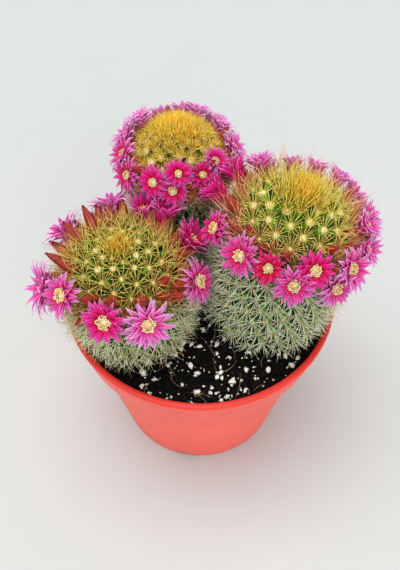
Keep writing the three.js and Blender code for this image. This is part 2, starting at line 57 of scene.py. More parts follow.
SENSOR = 36

# The light of the sky, and soft round lamps, each with its place and size in metres, watts and colour
SKY_COLOUR = (0.96, 0.98, 1.0, 1)
SKY_STRENGTH = 0.86
LAMPS = {
    "key": ((-0.5, 0.0, 2.9), 2.2, 55, (1.0, 0.98, 0.95)),
    "fill": ((0.6, -2.3, 1.6), 2.0, 30, (0.98, 0.99, 1.0)),
}
LAMP_TARGET = (0, 0, 0.1)
# Half the width of the floor in metres, and how far from the pot its colour starts and ends to grow lighter,
# as painted light that makes up for the lamps' light falling off far away
FLOOR_REACH = 12
FLOOR_PAINTED_LIGHT = (1200, 6000)

# The pot, in millimetres and degrees
POT_HEIGHT = 96
LIP_RADIUS = 65
LIP_STEP = 1.2
LIP_EDGE = 2.6
LIP_ROOT = 3
COLLAR_RADIUS = 61
COLLAR_FOOT = 77
SHOULDER_RADIUS = 57.4
SHOULDER_DROP = 1
FOOT_RADIUS = 43
FOOT_RING = 2.6
FLOOR_RADIUS = 42.3
FLOOR_BOTTOM = 3
FLOOR_TOP = 5
WALL = 1.5
# Height and radius of the rings that split the long flank between foot and shoulder
FLANK_RINGS = ((5, 43.95), (30, 48.7), (55, 53.4))
NOTCH_TURNS = (260, 20, 140)
NOTCH_WIDTH = 13
NOTCH_HEIGHT = 2
NOTCH_REACH = 8
DRAIN_COUNT = 6
DRAIN_RADIUS = 4
DRAIN_CIRCLE = 26
DRAIN_SIDES = 28
POT_STEPS = 144

# The soil and what lies on it, with cells of skin in square millimetres
SOIL_LEVEL = 89
SOIL_RADIUS = 60.8
SOIL_GAP = 0.4
SOIL_TOP_CELL = 1.5
SOIL_SIDE_CELL = 60
SOIL_RIM_POINTS = 220
CRUMB_COUNT = 900
PERLITE_COUNT = 520
FIBRE_COUNT = 70

# The turn from each tubercle to the next, the steps in which a half outline is walked, and how deep a
# plant stands in the soil
GOLDEN_TURN = math.pi * (3 - math.sqrt(5))
SKIN_STEPS = 900
BURIED = 3.5

# Each plant. Its axis leaves the soil at base and ends in the crown at apex. It has its widest radius
# under a dome of a given height, narrows to its foot by taper, and each tubercle has a cell of skin, in
# square millimetres. The zones are how far down the skin the middle of the crown, the edge of its golden
# tuft, the flowers and the lower skin lie, and four values in a row are for these four. Buds grow in a
# band of angles from the crown, in a share of its axils. Thick is how densely the spines stand, and far
# how much longer those are that point to the back. Wool, heart and bud_size are sizes of the areoles'
# wool, the flowers' stamens and the buds.
PLANTS = {
    "left": {
        "base": (-31, -14), "apex": (-34.5, -17, 144), "radius": 27.5, "dome": 21, "taper": 0.14,
        "cell": 46, "zones": (0, 8, 28, 40), "buds": (52, 83), "bud_share": 0.8,
        "radial_length": (9.5, 7.2, 9.6, 10.2), "central_length": (10.5, 9.8, 12.8, 10.4),
        "thick": (0.74, 0.74, 0.74, 0.74), "far": 0.15,
        "wool": 0.85, "heart": 1.0, "bud_size": 1.0, "seed": 11,
    },
    "right": {
        "base": (31.5, -5.5), "apex": (41.5, -2.5, 162), "radius": 28.5, "dome": 24, "taper": 0.06,
        "cell": 52, "zones": (0, 17, 31, 43), "buds": (54, 78), "bud_share": 0.8,
        "radial_length": (9.4, 6.3, 9.8, 8.2), "central_length": (11.0, 8.8, 13.2, 8.8),
        "thick": (1.08, 1.08, 1.08, 1.08), "far": 0.42,
        "wool": 0.95, "heart": 0.95, "bud_size": 0.82, "seed": 12,
    },
    "back": {
        "base": (-11.5, 34), "apex": (-11, 38, 162.5), "radius": 22, "dome": 19, "taper": 0.14,
        "cell": 30, "zones": (0, 21, 28, 36), "buds": (58, 78), "bud_share": 0.7,
        "radial_length": (8.5, 4.5, 9.4, 7.0), "central_length": (9.6, 4.8, 12.4, 7.4),
        "thick": (1.8, 1.75, 1.6, 0.85), "far": -0.06,
        "wool": 1.3, "heart": 0.85, "bud_size": 0.78, "seed": 13,
    },
}
DOME_STEPS = 90
FLANK_STEPS = 60

# The area of skin for each tubercle at the crown and in the soil, in square millimetres, and how far down
# from the crown it starts and ends to grow to the plant's own
CROWN_CELL = 13
BURIED_CELL = 160
CROWN_FROM = 3
CROWN_TO = 14
# How deep the hollows between the tubercles are
VALLEY = 2.6
# Each ring of a tubercle: how far it draws in from the ring below it, how far it stands out, and its
# share of the way from the hollow to the areole, which sets the colour of the skin, darkened toward the
# hollow as painted shade.
TUBERCLE_RINGS = ((0.2, 0.0, 0.1), (0.45, 0.45, 0.6), (0.5, 0.1, 1.0))
# Tubercles that end below this height above the soil have no areole
BARE_BELOW = 1.2

# Wool and spines in the four zones: radius, number, lift from the skin in degrees, and pull to the crown
WOOL_RADIUS = (1.3, 1.8, 1.3, 0.95)
SPINE_RADIUS = (0.2, 0.165, 0.19, 0.21)
RADIALS = (17, 14, 20, 10)
RADIAL_LIFT = (58, 22, 34, 34)
CENTRALS = (8, 4, 12, 5)
CENTRAL_LIFT = (78, 60, 50, 58)
PULL_UP = (0.9, 0.25, 0.25, 0.05)
# How deep wool sits in the skin, how flat it is, and the cell of skin of a tubercle with wool of full size
WOOL_SUNK = 0.15
WOOL_FLAT = 0.62
WOOL_CELL = 49
# How far from the middle of its areole a radial and a central spine stands
RADIAL_SEAT = 0.55
CENTRAL_SEAT = 0.25
# How unevenly spines stand round an areole, as a part of the space between two, and lift, in degrees
TURN_SCATTER = 0.12
LIFT_SCATTER = 6
# The parts of its length that a spine is tried at, until its tip is clear of what stands round it, and
# how far tips stay from the soil, and from the pot and other plants
SPINE_CUTS = (1, 0.8, 0.62, 0.46, 0.32, 0.2)
TIP_OVER_SOIL = 1
TIP_GAP = 0.3
# How far spines stay from the axis of a flower of full size, and buds from flowers and each other
FLOWER_CLEARANCE = 4.2
BUD_CLEARANCE = 4.2

# Each open flower in the order of its number: how pale it is, from -1 for crimson over 0 for magenta
# and 1 for lilac to 2 for blush, how far it is shut, and how long its petals are. The palest tones go to
# flowers on the far sides and are partly painted light, standing in for light through their backlit petals.
BLOOMS = {
    "left": (
        (1.0, 0.0, 1.18), (0.05, 0.1, 0.98), (0.45, 0.1, 1.0), (1.0, 0.1, 1.5), (0.5, 0.0, 1.1),
        (0.0, 0.45, 1.2), (-0.1, 0.65, 1.25), (0.2, 0.45, 1.2), (1.2, 0.2, 1.35), (1.0, 0.2, 1.3),
    ),
    "right": (
        (0.35, 0.0, 1.08), (-1.0, 0.25, 0.8), (0.45, 0.0, 1.08), (-0.3, 0.1, 0.92), (0.75, 0.0, 1.08),
        (0.6, 0.15, 1.2), (0.15, 0.05, 0.95), (-0.4, 0.65, 1.35), (-0.3, 0.55, 1.3), (1.0, 0.35, 1.1),
        (1.4, 0.45, 0.75), (1.5, 0.45, 0.7), (1.4, 0.4, 0.75), (1.3, 0.4, 0.9), (1.0, 0.4, 1.0),
        (0.8, 0.45, 1.0), (0.5, 0.55, 0.95), (0.7, 0.45, 0.95), (0.7, 0.45, 0.95),
    ),
    "back": (
        (0.05, 0.0, 0.96), (0.0, 0.0, 0.82), (0.1, 0.05, 0.96), (0.4, 0.0, 1.15), (0.6, 0.1, 1.25),
        (-0.2, 0.1, 0.86), (0.2, 0.3, 0.95), (1.1, 0.2, 1.2), (1.2, 0.2, 1.2), *[(1.7, 0.3, 1.05)] * 6,
        (1.5, 0.25, 1.15), (1.2, 0.2, 1.25),
    ),
}

# A flower of full size, as long in the tube as those in the CAD
TUBE_LENGTH = 11
THROAT_RADIUS = 2.7
PETAL_LENGTH = 9.2
PETAL_WIDTH = 3.5
STAMEN_COUNT = 46
STIGMA_LOBES = 5
# Corners of the tube's half section, its height to the throat, and how far it is sunk in the axil
TUBE_OUTLINE = ((0, 0), (0.9, 0.1), (1.2, 3), (1.6, 6.5), (2.2, 10), (2.7, 11.8), (2.1, 12.1), (0, 11.2))
TUBE_HEIGHT = 12
TUBE_SUNK = 1.4
TUBE_SIDES = 14
# A petal leans out by this much, in degrees, and by a share of the lean of the CAD petals beside it
LEAST_LEAN = 40
LEAN_SHARE = 0.5
# Flat blades: how many faces they have across and along, their widths from root to tip, and how thick
# they are
BLADES = {
    "petal": (4, 7, (0.55, 0.8, 1.0, 0.98, 0.8, 0.55, 0.28, 0.0), 0.2),
    "sepal": (2, 6, (0.7, 0.95, 1.0, 0.8, 0.5, 0.2, 0.0), 0.22),
    "scale": (2, 5, (0.8, 1.0, 0.85, 0.5, 0.0), 0.25),
}
BLADE_STEPS = 24
# Each row of petals is turned on by this part of the space between two of them
ROW_TURN = 0.37
# Rows of blades from the outside in: how many, which shape, how far out and up they start, their size
# and width, how far they open, how far their tips curl back, in degrees, and how much paler they are; the
# outer row of petals is paler partly as painted light, standing in for light through backlit petals.
FLOWER_ROWS = (
    (10, "sepal", 2.1, -3.4, 0.84, 0.72, 1.00, 34, 0.10),
    (12, "petal", 2.45, -1.0, 1.08, 0.86, 1.10, 44, 0.35),
    (12, "petal", 2.3, 0.0, 1.00, 0.98, 0.96, 30, 0.00),
    (9, "petal", 2.0, 0.4, 0.84, 0.84, 0.76, 18, -0.20),
)
# Corners of a bud's core and its height, and the rows of scales round it: how many, the part of the space
# between two by which they are turned, how far up and out they start, their length and width, and their
# leans from root to tip, in degrees
BUD_OUTLINE = ((0, -2), (1.5, -1.6), (2.2, 0.8), (1.9, 3.2), (1.2, 5.8), (0.5, 8.2), (0, 9.6))
BUD_HEIGHT = 9
BUD_SIDES = 10
BUD_ROWS = (
    (6, 0, -0.8, 2.1, 5.0, 2.9, (10, -2, -8, -12, -14)),
    (6, 0.5, 0.8, 2.25, 6.4, 2.7, (2, -8, -15, -18, -20)),
    (4, 0.2, 2.6, 1.95, 7.2, 2.2, (-4, -12, -17, -18, -18)),
)

pot_low, pot_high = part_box("pot")
AXIS = Vector(((pot_low.x + pot_high.x) / 2, (pot_low.y + pot_high.y) / 2, 0))
TO_FRAME = Matrix.Translation(AXIS) @ Matrix.Scale(0.001, 4)
UP = np.array((0.0, 0.0, 1.0))


# Camera, light and floor

def add_camera():
    """Looks down on the pot from the front, as a hand-held camera would."""
    elevation = math.radians(CAMERA_DOWN)
    roll = math.radians(CAMERA_ROLL)
    forward = Vector((0, math.cos(elevation), -math.sin(elevation)))
    level = Vector((1, 0, 0))
    upward = level.cross(forward)
    right = level * math.cos(roll) + upward * math.sin(roll)
    data = bpy.data.cameras.new("camera")
    data.sensor_width = SENSOR
    data.lens = SENSOR * FOCAL_PIXELS / PICTURE_PIXELS
    camera = bpy.data.objects.new("camera", data)
    turn = Matrix((right, right.cross(forward), -forward)).transposed()
    camera.matrix_world = Matrix.Translation(TO_FRAME @ Vector(CAMERA_PLACE)) @ turn.to_4x4()
    bpy.context.scene.collection.objects.link(camera)
    bpy.context.scene.camera = camera


def add_lamp(name, place, size, watts, colour):
    data = bpy.data.lights.new(name, "AREA")
    data.shape = "DISK"
    data.size = size
    data.energy = watts
    data.color = colour
    lamp = bpy.data.objects.new(name, data)
    aim = (Vector(LAMP_TARGET) - Vector(place)).to_track_quat("-Z", "Y")
    lamp.matrix_world = Matrix.Translation(place) @ aim.to_matrix().to_4x4()
    bpy.context.scene.collection.objects.link(lamp)


def add_studio():
    scene = bpy.context.scene
    scene.view_settings.view_transform = "Standard"
    scene.world = bpy.data.worlds.new("studio")
    scene.world.use_nodes = True
    sky = scene.world.node_tree.nodes["Background"]
    sky.inputs["Color"].default_value = SKY_COLOUR
    sky.inputs["Strength"].default_value = SKY_STRENGTH
    for name, settings in LAMPS.items():
        add_lamp(name, *settings)
    bm = bmesh.new()
    bmesh.ops.create_grid(bm, x_segments=1, y_segments=1, size=FLOOR_REACH)
    mesh = bpy.data.meshes.new("floor")
    bm.to_mesh(mesh)
    bm.free()
    mesh.materials.append(floor_paper())
    floor = bpy.data.objects.new("floor", mesh)
    scene.collection.objects.link(floor)


# Materials

def tint(code):
    """A colour written as on the web, as the linear values that a shader takes."""
    values = [int(code[i:i + 2], 16) / 255 for i in (1, 3, 5)]
    return (*(v / 12.92 if v <= 0.04045 else ((v + 0.055) / 1.055) ** 2.4 for v in values), 1.0)


class Finish:
    """A material, with short ways to wire its nodes."""

    def __init__(self, name, roughness, **constants):
        self.material = bpy.data.materials.new(name)
        self.material.use_nodes = True
        self.tree = self.material.node_tree
        self.shader = self.tree.nodes["Principled BSDF"]
        self.shader.inputs["Roughness"].default_value = roughness
        for socket, value in constants.items():
            self.shader.inputs[socket.replace("_", " ")].default_value = value

    def node(self, kind, **settings):
        made = self.tree.nodes.new("ShaderNode" + kind)
        for setting, value in settings.items():
            setattr(made, setting, value)
        return made

    def feed(self, socket, value):
        """Links a node's output into a socket, or sets the socket to a plain value."""
        if isinstance(value, bpy.types.NodeSocket):
            self.tree.links.new(value, socket)
        else:
            socket.default_value = value

    def attribute(self, name):
        return self.node("Attribute", attribute_name=name).outputs["Fac"]

    def place(self):
        """Where on its piece a point lies, in metres."""
        return self.node("TexCoord").outputs["Object"]

    def height(self):
        """Height above the ground, in millimetres."""
        parts = self.node("SeparateXYZ")
        self.feed(parts.inputs[0], self.place())
        return self.math("MULTIPLY", parts.outputs["Z"], 1000.0)

    def distance(self):
        """Distance from the origin, in millimetres."""
        made = self.node("VectorMath", operation="LENGTH")
        self.feed(made.inputs[0], self.place())
        return self.math("MULTIPLY", made.outputs["Value"], 1000.0)

    def noise(self, grain, detail=2.0, roughness=0.5):
        """Soft blotches about as wide as grain, in millimetres."""
        made = self.node("TexNoise")
        made.inputs["Scale"].default_value = 1000 / grain
        made.inputs["Detail"].default_value = detail
        made.inputs["Roughness"].default_value = roughness
        self.feed(made.inputs["Vector"], self.place())
        return made.outputs["Fac"]

    def math(self, operation, *values):
        made = self.node("Math", operation=operation)
        for socket, value in zip(made.inputs, values):
            self.feed(socket, value)
        return made.outputs[0]

    def spread(self, value, low, high):
        """Stretches a value so that low becomes 0 and high becomes 1."""
        made = self.node("MapRange")
        for socket, part in zip(("Value", "From Min", "From Max"), (value, low, high)):
            self.feed(made.inputs[socket], part)
        return made.outputs["Result"]

    def ramp(self, value, *stops):
        made = self.node("ValToRGB")
        elements = made.color_ramp.elements
        while len(elements) < len(stops):
            elements.new(0.5)
        for element, (position, code) in zip(elements, stops):
            element.position = position
            element.color = tint(code)
        self.feed(made.inputs["Fac"], value)
        return made.outputs["Color"]

    def mix(self, share, first, second, mode="MIX"):
        made = self.node("Mix", data_type="RGBA", blend_type=mode)
        for number, value in ((0, share), (6, first), (7, second)):
            self.feed(made.inputs[number], value)
        return made.outputs[2]

    def colour(self, value, blotches=None):
        """Sets the colour, darkened by blotches where they are given."""
        if blotches is not None:
            value = self.mix(1.0, value, blotches, "MULTIPLY")
        self.feed(self.shader.inputs["Base Color"], value)

    def roughness(self, value):
        self.feed(self.shader.inputs["Roughness"], value)

    def bump(self, value, depth, strength=1.0):
        """Raises the surface by a height of up to depth, in millimetres."""
        made = self.node("Bump")
        made.inputs["Strength"].default_value = strength
        made.inputs["Distance"].default_value = depth / 1000
        self.feed(made.inputs["Height"], value)
        self.feed(self.shader.inputs["Normal"], made.outputs["Normal"])


def floor_paper():
    """Pale grey paper, painted lighter far from the pot to make up for the lamps' light falling off there."""
    finish = Finish("floor_paper", 0.7)
    paper = finish.mix(finish.noise(40, 2), tint("#babdbb"), tint("#bec1bf"))
    finish.colour(finish.mix(finish.spread(finish.distance(), *FLOOR_PAINTED_LIGHT), paper, tint("#eceeed")))
    return finish.material


def pot_plastic():
    """Thin red moulded plastic: the lip deep red, and the satin body painted paler as painted sheen of the
    white surroundings on the same plastic, with painted shade on the lip's top edge.
    """
    finish = Finish("pot_plastic", 0.4, Subsurface_Weight=0.12, Subsurface_Scale=0.002)
    # Painted light by height: the salmon below the lip is painted sheen, and the darkest red at the very top
    # edge is painted shade
    sheen_and_shade_by_height = finish.ramp(
        finish.spread(finish.height(), 0, POT_HEIGHT),
        (0.0, "#f55c4a"), (0.8, "#f65e4c"), (0.97, "#f4564a"), (0.99, "#e82c18"), (1.0, "#c9200f"),
    )
    finish.colour(sheen_and_shade_by_height, finish.ramp(finish.noise(30, 3), (0.35, "#f4f0ef"), (0.65, "#ffffff")))
    finish.roughness(finish.spread(finish.noise(2.5, 4), -1.2, 2.4))
    finish.bump(finish.noise(0.7, 3), 0.02, 0.5)
    return finish.material


def peat():
    """Dark crumbs, with damp patches that are darker still."""
    finish = Finish("peat", 0.95, Specular_IOR_Level=0.2)
    crumbs = finish.ramp(
        finish.noise(1.6, 6, 0.7), (0.3, "#050403"), (0.5, "#0c0906"), (0.62, "#1a130c"), (0.8, "#382c1c"),
    )
    finish.colour(crumbs, finish.ramp(finish.noise(22, 2), (0.3, "#8f8a88"), (0.7, "#ffffff")))
    finish.bump(finish.noise(0.8, 6, 0.7), 0.6)
    return finish.material


def perlite():
    """White grains with brown dust in their pits."""
    finish = Finish("perlite", 0.9, Subsurface_Weight=0.2, Subsurface_Scale=0.001)
    finish.colour(finish.ramp(
        finish.noise(3.5, 4), (0.25, "#b9ac92"), (0.45, "#e9e4d6"), (0.7, "#f7f5ef"),
    ))
    finish.bump(finish.noise(0.5, 4, 0.7), 0.2)
    return finish.material


def root_fibre():
    finish = Finish("root_fibre", 0.8)
    finish.colour(finish.ramp(finish.noise(4, 2), (0.3, "#6b4b30"), (0.7, "#c7ab84")))
    return finish.material


# Colours of a plant's skin from the hollows to the areoles, on its young upper part and low down; the dark
# colours at the hollows are painted shade
SKIN_STOPS = (0.0, 0.35, 0.8, 1.0)
YOUNG_SKIN = {
    "left": ("#142a02", "#326204", "#74960c", "#a4a828"),
    "right": ("#1c4000", "#3e7c02", "#80a60a", "#a8b028"),
    "back": ("#342c0a", "#84701c", "#c8ac38", "#e0c854"),
}
OLD_SKIN = {
    "left": ("#081a02", "#24560c", "#6c9c30", "#a4b450"),
    "right": ("#081a02", "#246010", "#6ca438", "#a4b458"),
    "back": ("#142408", "#385818", "#789440", "#a2ae60"),
}


def cactus_skin(name):
    """Green skin, yellower on the tubercles, with painted shade darkening the hollows."""
    finish = Finish(
        "skin_" + name, 0.5, Subsurface_Weight=0.1, Subsurface_Scale=0.002, Specular_IOR_Level=0.1,
    )
    # tip runs from 0 in the hollows, where the dark colours are painted shade, to 1 at the areoles
    tip = finish.attribute("tip")
    young = finish.ramp(tip, *zip(SKIN_STOPS, YOUNG_SKIN[name]))
    old = finish.ramp(tip, *zip(SKIN_STOPS, OLD_SKIN[name]))
    aged = finish.mix(finish.spread(finish.attribute("zone"), 1.8, 3.0), young, old)
    finish.colour(aged, finish.ramp(finish.noise(5, 4), (0.3, "#d8dfd0"), (0.7, "#ffffff")))
    finish.bump(finish.noise(0.5, 3), 0.05, 0.5)
    return finish.material


def areole_wool():
    """Felted tufts, golden at the crown and cream below."""
    finish = Finish("areole_wool", 1.0, Sheen_Weight=0.3, Sheen_Roughness=0.5)
    by_zone = finish.ramp(
        finish.spread(finish.attribute("zone"), 0, 3),
        (0.0, "#e6b83c"), (0.33, "#fbf2b4"), (0.66, "#f0dd8e"), (1.0, "#ece6ac"),
    )
    finish.colour(by_zone, finish.ramp(finish.noise(0.6, 3), (0.3, "#d8c890"), (0.6, "#ffffff")))
    finish.bump(finish.noise(0.35, 4, 0.7), 0.4)
    return finish.material


# Colours of a plant's spines at the crown, the edge of the tuft, half way, the flowers and the foot
ZONE_STOPS = (0.0, 0.3, 0.52, 0.7, 0.95)
SPINE_SHAFTS = {
    "left": ("#fcc02c", "#fdee74", "#fde680", "#fcb86c", "#fcffd8"),
    "right": ("#fccc30", "#fcf078", "#fce284", "#ffae98", "#fcffe0"),
    "back": ("#ffd63c", "#ffee6c", "#ffa24c", "#ff8854", "#f0ecc0"),
}
SPINE_TIPS = {
    "left": ("#c47818", "#d89c38", "#bc6830", "#b4442e", "#d8c488"),
    "right": ("#dca028", "#eec858", "#fa7a60", "#fc5c6c", "#f4e8b8"),
    "back": ("#eca42c", "#ea8c3a", "#e45234", "#d8402c", "#ccb888"),
}


def spines(name):
    """Golden at the crown, paler on the dome, tan or red by the flowers and white below, with darker tips."""
    finish = Finish(
        "spines_" + name, 0.5, Subsurface_Weight=0.35, Subsurface_Scale=0.0008, Specular_IOR_Level=0.12,
    )
    zone = finish.spread(finish.attribute("zone"), 0, 3)
    shaft = finish.ramp(zone, *zip(ZONE_STOPS, SPINE_SHAFTS[name]))
    tip = finish.ramp(zone, *zip(ZONE_STOPS, SPINE_TIPS[name]))
    own = finish.spread(finish.attribute("tone"), 0.0, 0.9)
    along = finish.spread(finish.attribute("along"), 0.2, 0.9)
    aged = finish.mix(finish.math("MULTIPLY", along, own), shaft, tip)
    finish.colour(aged, finish.ramp(finish.noise(1.4, 2), (0.36, "#d0c6b4"), (0.58, "#ffffff")))
    return finish.material


def bud_skin():
    """Red-brown scales, green at the root and brighter red along their edges."""
    finish = Finish("buds", 0.5, Subsurface_Weight=0.2, Subsurface_Scale=0.001)
    along = finish.attribute("along")
    middle = finish.ramp(along, (0.0, "#6e5c1c"), (0.3, "#802212"), (0.7, "#901618"), (1.0, "#640e12"))
    edge = finish.ramp(along, (0.0, "#9c8430"), (0.35, "#b0482a"), (1.0, "#be3830"))
    finish.colour(finish.mix(finish.spread(finish.attribute("across"), 0.35, 1.0), middle, edge))
    finish.bump(finish.noise(0.6, 3), 0.1, 0.6)
    return finish.material


# Colours of a flower from the foot of its tube to the throat, and on to the tips of the petals: along
# the middle and the edge of a petal, for each tone
TUBE_COLOURS = ((0.0, "#94903a"), (0.2, "#b8452c"), (0.44, "#c2183a"))
PETAL_COLOURS = {
    "crimson": (
        ((0.54, "#bc0824"), (0.7, "#c40e2e"), (0.88, "#c6184c"), (1.0, "#c03474")),
        ((0.56, "#c40a24"), (0.72, "#cc1438"), (0.9, "#d22c60"), (1.0, "#d85c90")),
    ),
    "magenta": (
        ((0.54, "#bc0630"), (0.7, "#c80c4c"), (0.88, "#ca1c76"), (1.0, "#c0489a")),
        ((0.56, "#c40838"), (0.72, "#cf125a"), (0.9, "#d6328c"), (1.0, "#d67cbe")),
    ),
    "lilac": (
        ((0.54, "#cc1850"), (0.7, "#d23088"), (0.9, "#d25aac"), (1.0, "#ca86bc")),
        ((0.56, "#d83074"), (0.72, "#e468ae"), (0.9, "#eea6d8"), (1.0, "#eccce6")),
    ),
    # Blush, for the palest petals: partly painted light, standing in for light through backlit petals on
    # far-side flowers
    "backlit_blush": (
        ((0.54, "#dc4888"), (0.7, "#e070b4"), (0.9, "#e494cc"), (1.0, "#dca8d0")),
        ((0.56, "#e45c94"), (0.72, "#ee94cc"), (0.9, "#f6c4e8"), (1.0, "#f4dcf0")),
    ),
}


def petal_skin():
    """Petals deeper along the middle and in the throat, paling to the edges and tips; the tube is redder.

    The attribute tone runs from -1 for crimson, a whole number for each of the colours, to 2 for blush. Its
    palest values, on outer petals and far-side flowers, are partly painted light through backlit petals."""
    finish = Finish(
        "petals", 0.6, Subsurface_Weight=0.7, Subsurface_Scale=0.0025,
        Subsurface_Radius=(1.0, 0.35, 0.7), Specular_IOR_Level=0.06,
    )
    along = finish.spread(finish.attribute("along"), -1, 1)
    streaks = finish.spread(finish.noise(1.2, 2), 0.25, 0.75)
    across = finish.math("MULTIPLY", finish.attribute("across"), finish.math("ADD", streaks, 0.5))
    to_edge = finish.spread(across, 0.15, 0.95)
    crimson, *paler = (
        finish.mix(to_edge, *(finish.ramp(along, *TUBE_COLOURS, *colours) for colours in pair))
        for pair in PETAL_COLOURS.values()
    )
    tone = finish.attribute("tone")
    colour = crimson
    for start, next_colour in enumerate(paler, -1):
        colour = finish.mix(finish.spread(tone, start, start + 1), colour, next_colour)
    finish.colour(colour)
    finish.bump(finish.noise(0.8, 2), 0.08, 0.5)
    return finish.material


def pollen():
    """Cream filaments and anthers round a yellow stigma, as the attribute kind runs from 0 to 2; the pinkish
    cream of the filaments also colours the cushion under the anthers as painted shade.
    """
    finish = Finish("stamens", 0.7, Subsurface_Weight=0.5, Subsurface_Scale=0.0015)
    finish.colour(finish.ramp(
        finish.spread(finish.attribute("kind"), 0, 2),
        (0.0, "#f0a090"), (0.25, "#f8cca8"), (0.5, "#fce4b4"), (0.75, "#f8cc6c"), (1.0, "#f0a430"),
    ))
    finish.bump(finish.noise(0.3, 2), 0.1, 0.6)
    return finish.material


# Pieces and the small shapes that they repeat

def add_piece(name, bm, material, nodes, levels=0):
    """Places a finished shape in the frame as a piece that stands for the given CAD nodes."""
    bm.transform(TO_FRAME)
    mesh = bpy.data.meshes.new(name)
    bm.to_mesh(mesh)
    bm.free()
    mesh.polygons.foreach_set("use_smooth", np.ones(len(mesh.polygons), bool))
    mesh.materials.append(material)
    piece = bpy.data.objects.new(name, mesh)
    bpy.context.scene.collection.objects.link(piece)
    if levels:
        modifier = piece.modifiers.new("rounding", "SUBSURF")
        modifier.levels = modifier.render_levels = levels
    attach(piece, "root")
    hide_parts(*nodes)


def small_shape(name, bm, **attributes):
    """Keeps a small shape to be copied. Each attribute is one value, or a rule that takes its points."""
    bmesh.ops.recalc_face_normals(bm, faces=bm.faces)
    mesh = bpy.data.meshes.new(name)
    bm.to_mesh(mesh)
    bm.free()
    places = points_of(mesh)
    for attribute, rule in attributes.items():
        values = rule(places) if callable(rule) else np.full(len(places), rule)
        layer = mesh.attributes.new(attribute, "FLOAT", "POINT")
        layer.data.foreach_set("value", values.astype(np.float32))
    return mesh


def points_of(mesh):
    places = np.empty(len(mesh.vertices) * 3)
    mesh.vertices.foreach_get("co", places)
    return places.reshape(-1, 3)


def stamp(bm, shape, place, **values):
    """Adds a copy of a small shape: place is a matrix, or the new places of its points."""
    copy = shape.copy()
    if isinstance(place, Matrix):
        copy.transform(place)
    else:
        copy.vertices.foreach_set("co", place.ravel())
    for attribute, value in values.items():
        data = copy.attributes[attribute].data
        data.foreach_set("value", np.full(len(data), value, np.float32))
    bm.from_mesh(copy)
    bpy.data.meshes.remove(copy)


def lean_to(direction):
    """The turn that brings the Z axis to a direction."""
    return Vector((0, 0, 1)).rotation_difference(Vector(direction)).to_matrix()


def standing(foot, direction, turn=0.0, size=(1, 1, 1)):
    """The matrix that stands a shape on foot, with its Z axis along direction."""
    lean = lean_to(direction).to_4x4()
    scale = Matrix.Diagonal((*size, 1))
    return Matrix.Translation(Vector(foot)) @ lean @ Matrix.Rotation(turn, 4, "Z") @ scale


def unit(vectors):
    return vectors / np.linalg.norm(vectors, axis=-1, keepdims=True)


def between(low, high, share):
    return low + (high - low) * share


def by_zone(values, zone):
    """The value in a zone, from those for the crown, the edge of its tuft, the flowers and the lower skin."""
    return np.interp(zone, range(4), values)


def smooth_step(value, low, high):
    share = np.clip((value - low) / (high - low), 0, 1)
    return share * share * (3 - 2 * share)


def half_section(outline):
    """Corners given as radius and height, joined by edges, with the corners in order."""
    bm = bmesh.new()
    corners = [bm.verts.new((radius, 0, height)) for radius, height in outline]
    for pair in zip(corners, corners[1:]):
        bm.edges.new(pair)
    return bm, corners


def turn_on_lathe(bm, steps):
    bmesh.ops.spin(
        bm, geom=bm.verts[:] + bm.edges[:], cent=(0, 0, 0), axis=(0, 0, 1), angle=2 * math.pi,
        steps=steps, use_merge=True,
    )
    bmesh.ops.remove_doubles(bm, verts=bm.verts, dist=0.001)


def split_at(bm, *heights):
    """Cuts new edges round a shape at each height."""
    for height in heights:
        bmesh.ops.bisect_plane(
            bm, geom=bm.verts[:] + bm.edges[:] + bm.faces[:], plane_co=(0, 0, height), plane_no=(0, 0, 1),
        )


def lump(name, seed, detail, roughness, **attributes):
    """A rough ball, about 1 in radius."""
    bm = bmesh.new()
    bmesh.ops.create_icosphere(bm, subdivisions=detail, radius=1)
    for vert in bm.verts:
        away = noise.noise(vert.co * 1.3 + Vector((seed * 7.1, 0, 0)))
        fine = noise.noise(vert.co * 3.1 + Vector((0, seed * 5.3, 0)))
        vert.co *= 1 + roughness * (away + 0.5 * fine)
    return small_shape(name, bm, **attributes)


# The pot

def pot_outline():
    """Corners of the half section, out under the floor and back over it, each with its rounding."""
    foot_inside = FOOT_RADIUS - FOOT_RING
    lip_foot = LIP_RADIUS - LIP_STEP
    lip_inside = lip_foot - WALL
    under_lip = POT_HEIGHT - LIP_ROOT
    shoulder = COLLAR_FOOT - SHOULDER_DROP
    return (
        (0, FLOOR_BOTTOM, 0), (foot_inside, FLOOR_BOTTOM, 0.4), (foot_inside, 0, 0.5),
        (FOOT_RADIUS, 0, 0.9), *((radius, height, 0) for height, radius in FLANK_RINGS),
        (SHOULDER_RADIUS, shoulder, 0.7), (COLLAR_RADIUS, COLLAR_FOOT, 0.8), (lip_foot, under_lip, 0.35),
        (LIP_RADIUS, POT_HEIGHT - LIP_EDGE, 0.5), (LIP_RADIUS, POT_HEIGHT, 1.1),
        (lip_inside, POT_HEIGHT, 0.5), (lip_inside, under_lip, 0.8),
        (COLLAR_RADIUS - WALL, COLLAR_FOOT + WALL, 0.8), (SHOULDER_RADIUS - WALL, shoulder + WALL, 0.7),
        (FLOOR_RADIUS, FLOOR_TOP, 1.2), (0, FLOOR_TOP, 0),
    )


